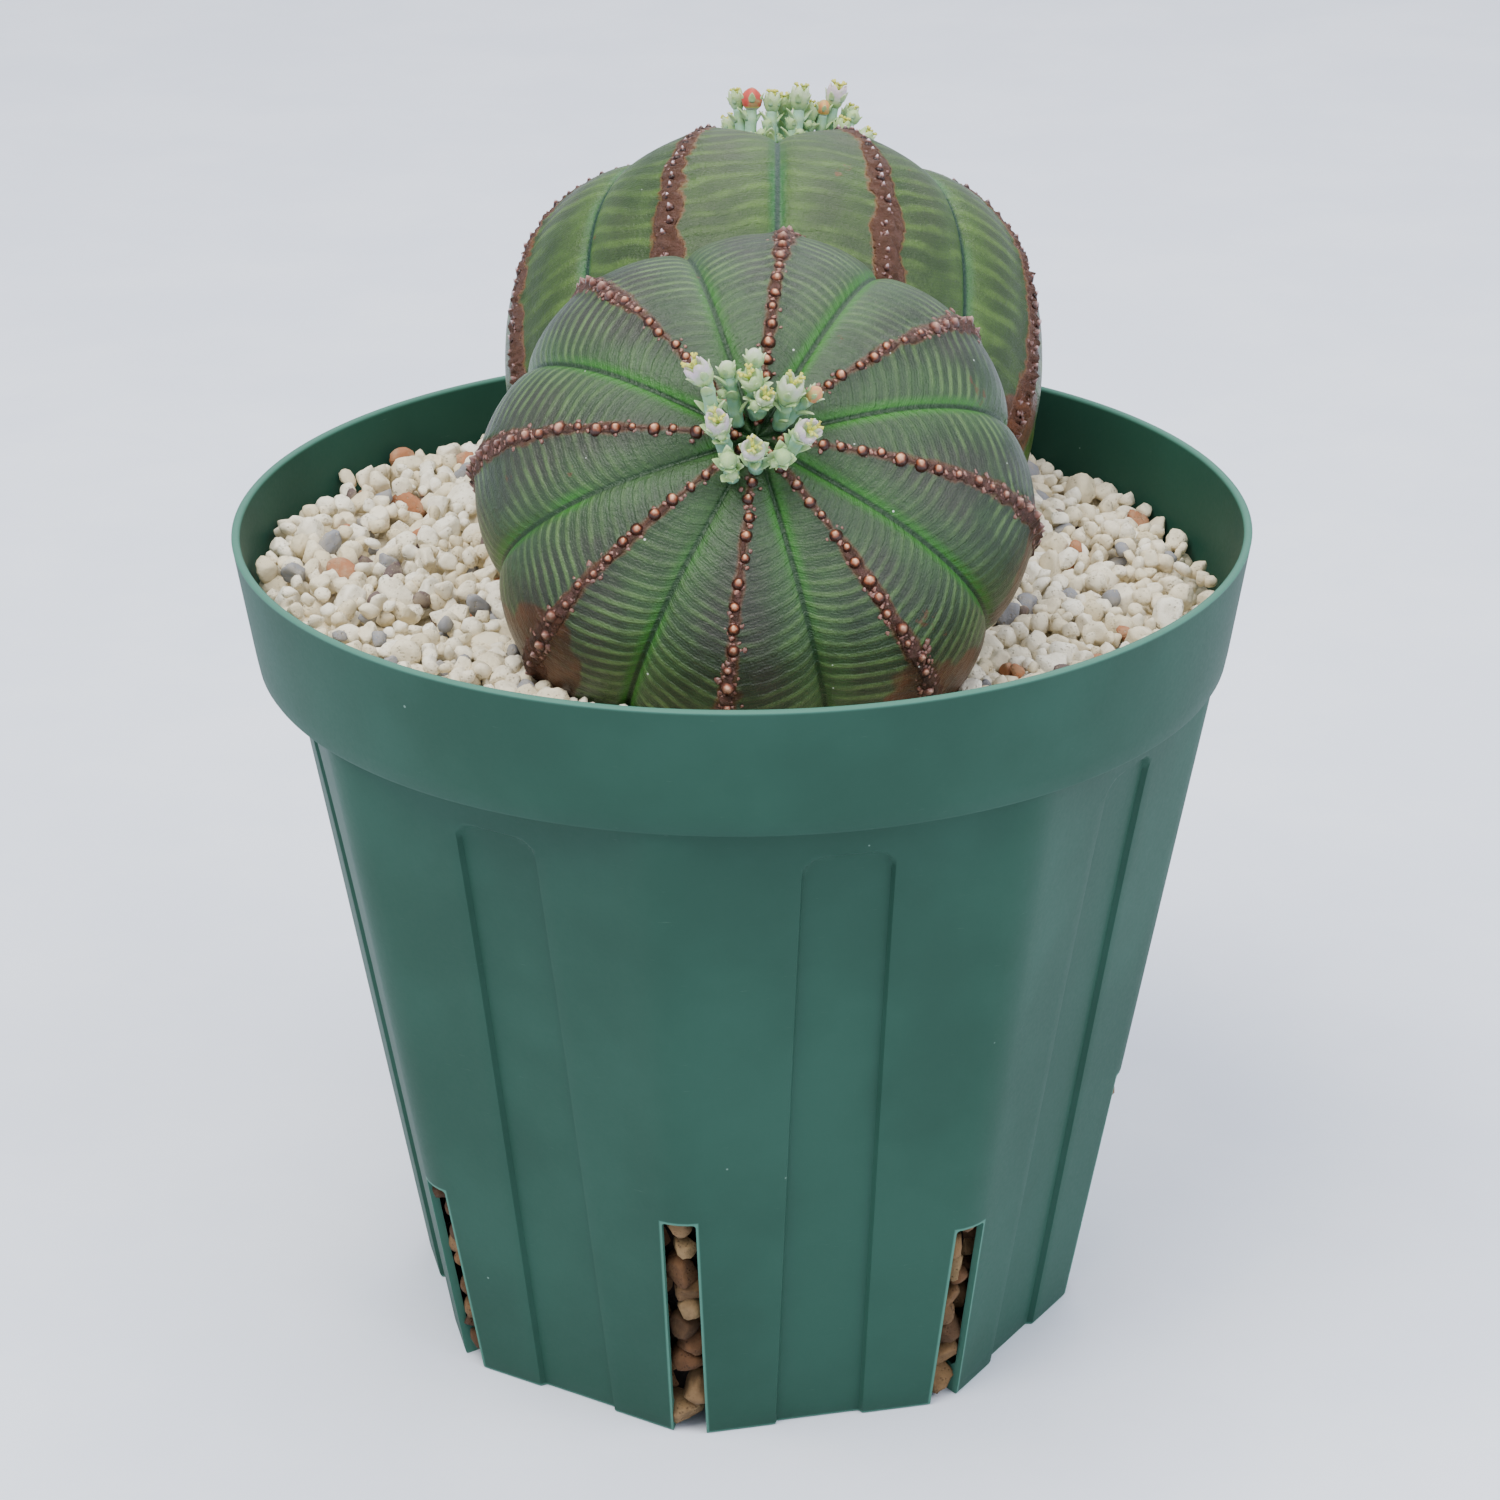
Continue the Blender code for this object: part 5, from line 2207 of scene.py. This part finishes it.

# Each stone's last colour serves both its stains and the painted shade in its open pores.
PUMICE = GrainStone("pumice", ((0.0, "#F6F0DE"), (0.3, "#EDE2C8"), (0.6, "#DDCFAE"),
                               (0.70, "#96969A"), (0.8, "#505257"), (0.9, "#A0694A"),
                               (1.0, "#AE7654")), "#B5A88C")
# The grit ramp's near-black first stop colours the grit core: painted shade between the grains.
GRIT = GrainStone("brown_grit", ((0.0, "#140E0A"), (0.12, "#4A3423"), (0.4, "#7B5F3F"),
                                 (0.6, "#5F4029"), (0.8, "#8C7350"), (1.0, "#6B4A33")),
                  "#33241A")

FRONT_PLANS = (
    SprayPlan((-2.2, -50.6, 154.6), (Cup((-6.6, -52.0, 167.4), 1.65, 3.8, 0.62, True,
                                         (-0.55, -0.2, 0.8)),
                                     Cup((-3.4, -54.4, 160.6), 1.6, 3.2, 0.62, True,
                                         (-0.1, -0.5, 0.8)))),
    SprayPlan((-0.6, -47.6, 157.6), (Cup((-2.2, -48.4, 166.6), 1.15, 2.6, 0.47, False),)),
    SprayPlan((2.0, -46.6, 158.4), (Cup((1.6, -48.0, 168.2), 1.25, 3.0, 0.5, False),
                                    Cup((0.8, -50.0, 165.2), 1.5, 3.0, 0.36, True,
                                        (-0.35, -0.4, 0.8)),
                                    Cup((3.2, -51.4, 162.8), 1.3, 2.6, 0.45, True,
                                        (0.2, -0.7, 0.6)))),
    SprayPlan((5.0, -47.4, 157.2), (Cup((7.0, -50.6, 164.6), 1.65, 4.2, 0.5, True,
                                        (0.3, -0.3, 0.9)),
                                    Cup((10.6, -49.0, 162.8), 1.1, 2.6, 0.88, False))),
    SprayPlan((5.2, -51.2, 153.4), (Cup((9.2, -57.0, 159.8), 1.65, 3.2, 0.62, True,
                                        (0.5, -0.7, 0.5)),
                                    Cup((5.4, -57.4, 156.2), 1.15, 2.4, 0.3, False))),
    SprayPlan((1.8, -52.2, 153.0), (Cup((1.4, -59.0, 158.2), 1.6, 3.2, 0.58, True,
                                        (0.0, -0.75, 0.6)),)),
    SprayPlan((-1.4, -53.2, 152.0), (Cup((-2.0, -58.0, 156.4), 1.2, 2.4, 0.32, False),)),
)
REAR_PLANS = (
    SprayPlan((1.6, 56.6, 163.2), (Cup((2.2, 57.6, 175.6), 1.55, 3.6, 1.0, False),
                                   Cup((-0.4, 58.8, 174.6), 1.15, 3.0, 0.36, True),
                                   Cup((-1.6, 60.6, 169.8), 1.2, 2.8, 0.4, True))),
    SprayPlan((4.6, 56.2, 163.8), (Cup((5.4, 57.4, 174.6), 1.25, 3.0, 0.4, True),
                                   Cup((4.6, 56.0, 171.2), 0.9, 2.2, 0.3, False))),
    SprayPlan((6.8, 60.4, 161.2), (Cup((7.2, 59.0, 173.6), 1.25, 3.0, 0.36, True),
                                   Cup((5.6, 65.0, 170.2), 1.4, 3.2, 0.5, True),
                                   Cup((9.4, 66.4, 169.0), 1.3, 3.2, 0.5, True))),
    SprayPlan((8.2, 56.2, 163.5), (Cup((9.8, 57.0, 175.6), 1.45, 3.6, 0.47, True),
                                   Cup((11.6, 58.8, 172.4), 1.2, 2.8, 0.36, True),
                                   Cup((8.6, 56.2, 171.6), 1.1, 2.6, 0.4, False))),
    SprayPlan((11.6, 60.2, 160.4), (Cup((15.6, 59.4, 175.2), 1.5, 3.6, 0.66, True),
                                    Cup((13.4, 58.2, 173.4), 1.1, 2.6, 0.86, False),
                                    Cup((17.8, 62.0, 171.0), 1.2, 2.8, 0.36, True))),
    SprayPlan((12.2, 56.4, 162.0), (Cup((20.4, 57.0, 168.4), 1.3, 3.2, 0.4, True),
                                    Cup((16.4, 56.8, 170.4), 1.15, 2.6, 0.33, True),
                                    Cup((18.4, 58.4, 171.6), 1.05, 2.4, 0.36, False))),
)


def main() -> None:
    """Build every piece in order."""
    logging.basicConfig(level=logging.INFO, format="%(message)s")
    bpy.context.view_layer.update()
    pot = SlitPot()
    pot.build()
    GritFill(GRIT, pot).build()
    GravelBed((FRONT_SHAPE, REAR_SHAPE), PUMICE).build()
    BallStem(FRONT_SHAPE, FRONT_SKIN, FRONT_HORN, bead_gap=2.75, bead_size=0.86,
             crust_from=0.3, crust_count=22, seed=101, hollow=1.0, hollow_at=0.28,
             hollow_wide=0.26, tip_depth=0.8).build()
    BallStem(REAR_SHAPE, REAR_SKIN, REAR_HORN, bead_gap=2.3, bead_size=0.6,
             crust_from=0.55, crust_count=12, seed=202, hollow=3.2, hollow_at=0.46,
             hollow_wide=0.34, tip_depth=4.4, tip_wide=0.4).build()
    flesh = BloomFlesh().material()
    for shape, plans in ((FRONT_SHAPE, FRONT_PLANS), (REAR_SHAPE, REAR_PLANS)):
        axis = shape.axes()[0]
        for number, plan in enumerate(plans, start=1):
            Spray(f"{shape.stem.value}_spray_{number}", plan, axis, SPRAY_SEED + number,
                  depth=shape.spray_depth).build(flesh)
    Studio().build()


if __name__ == "__main__":
    main()
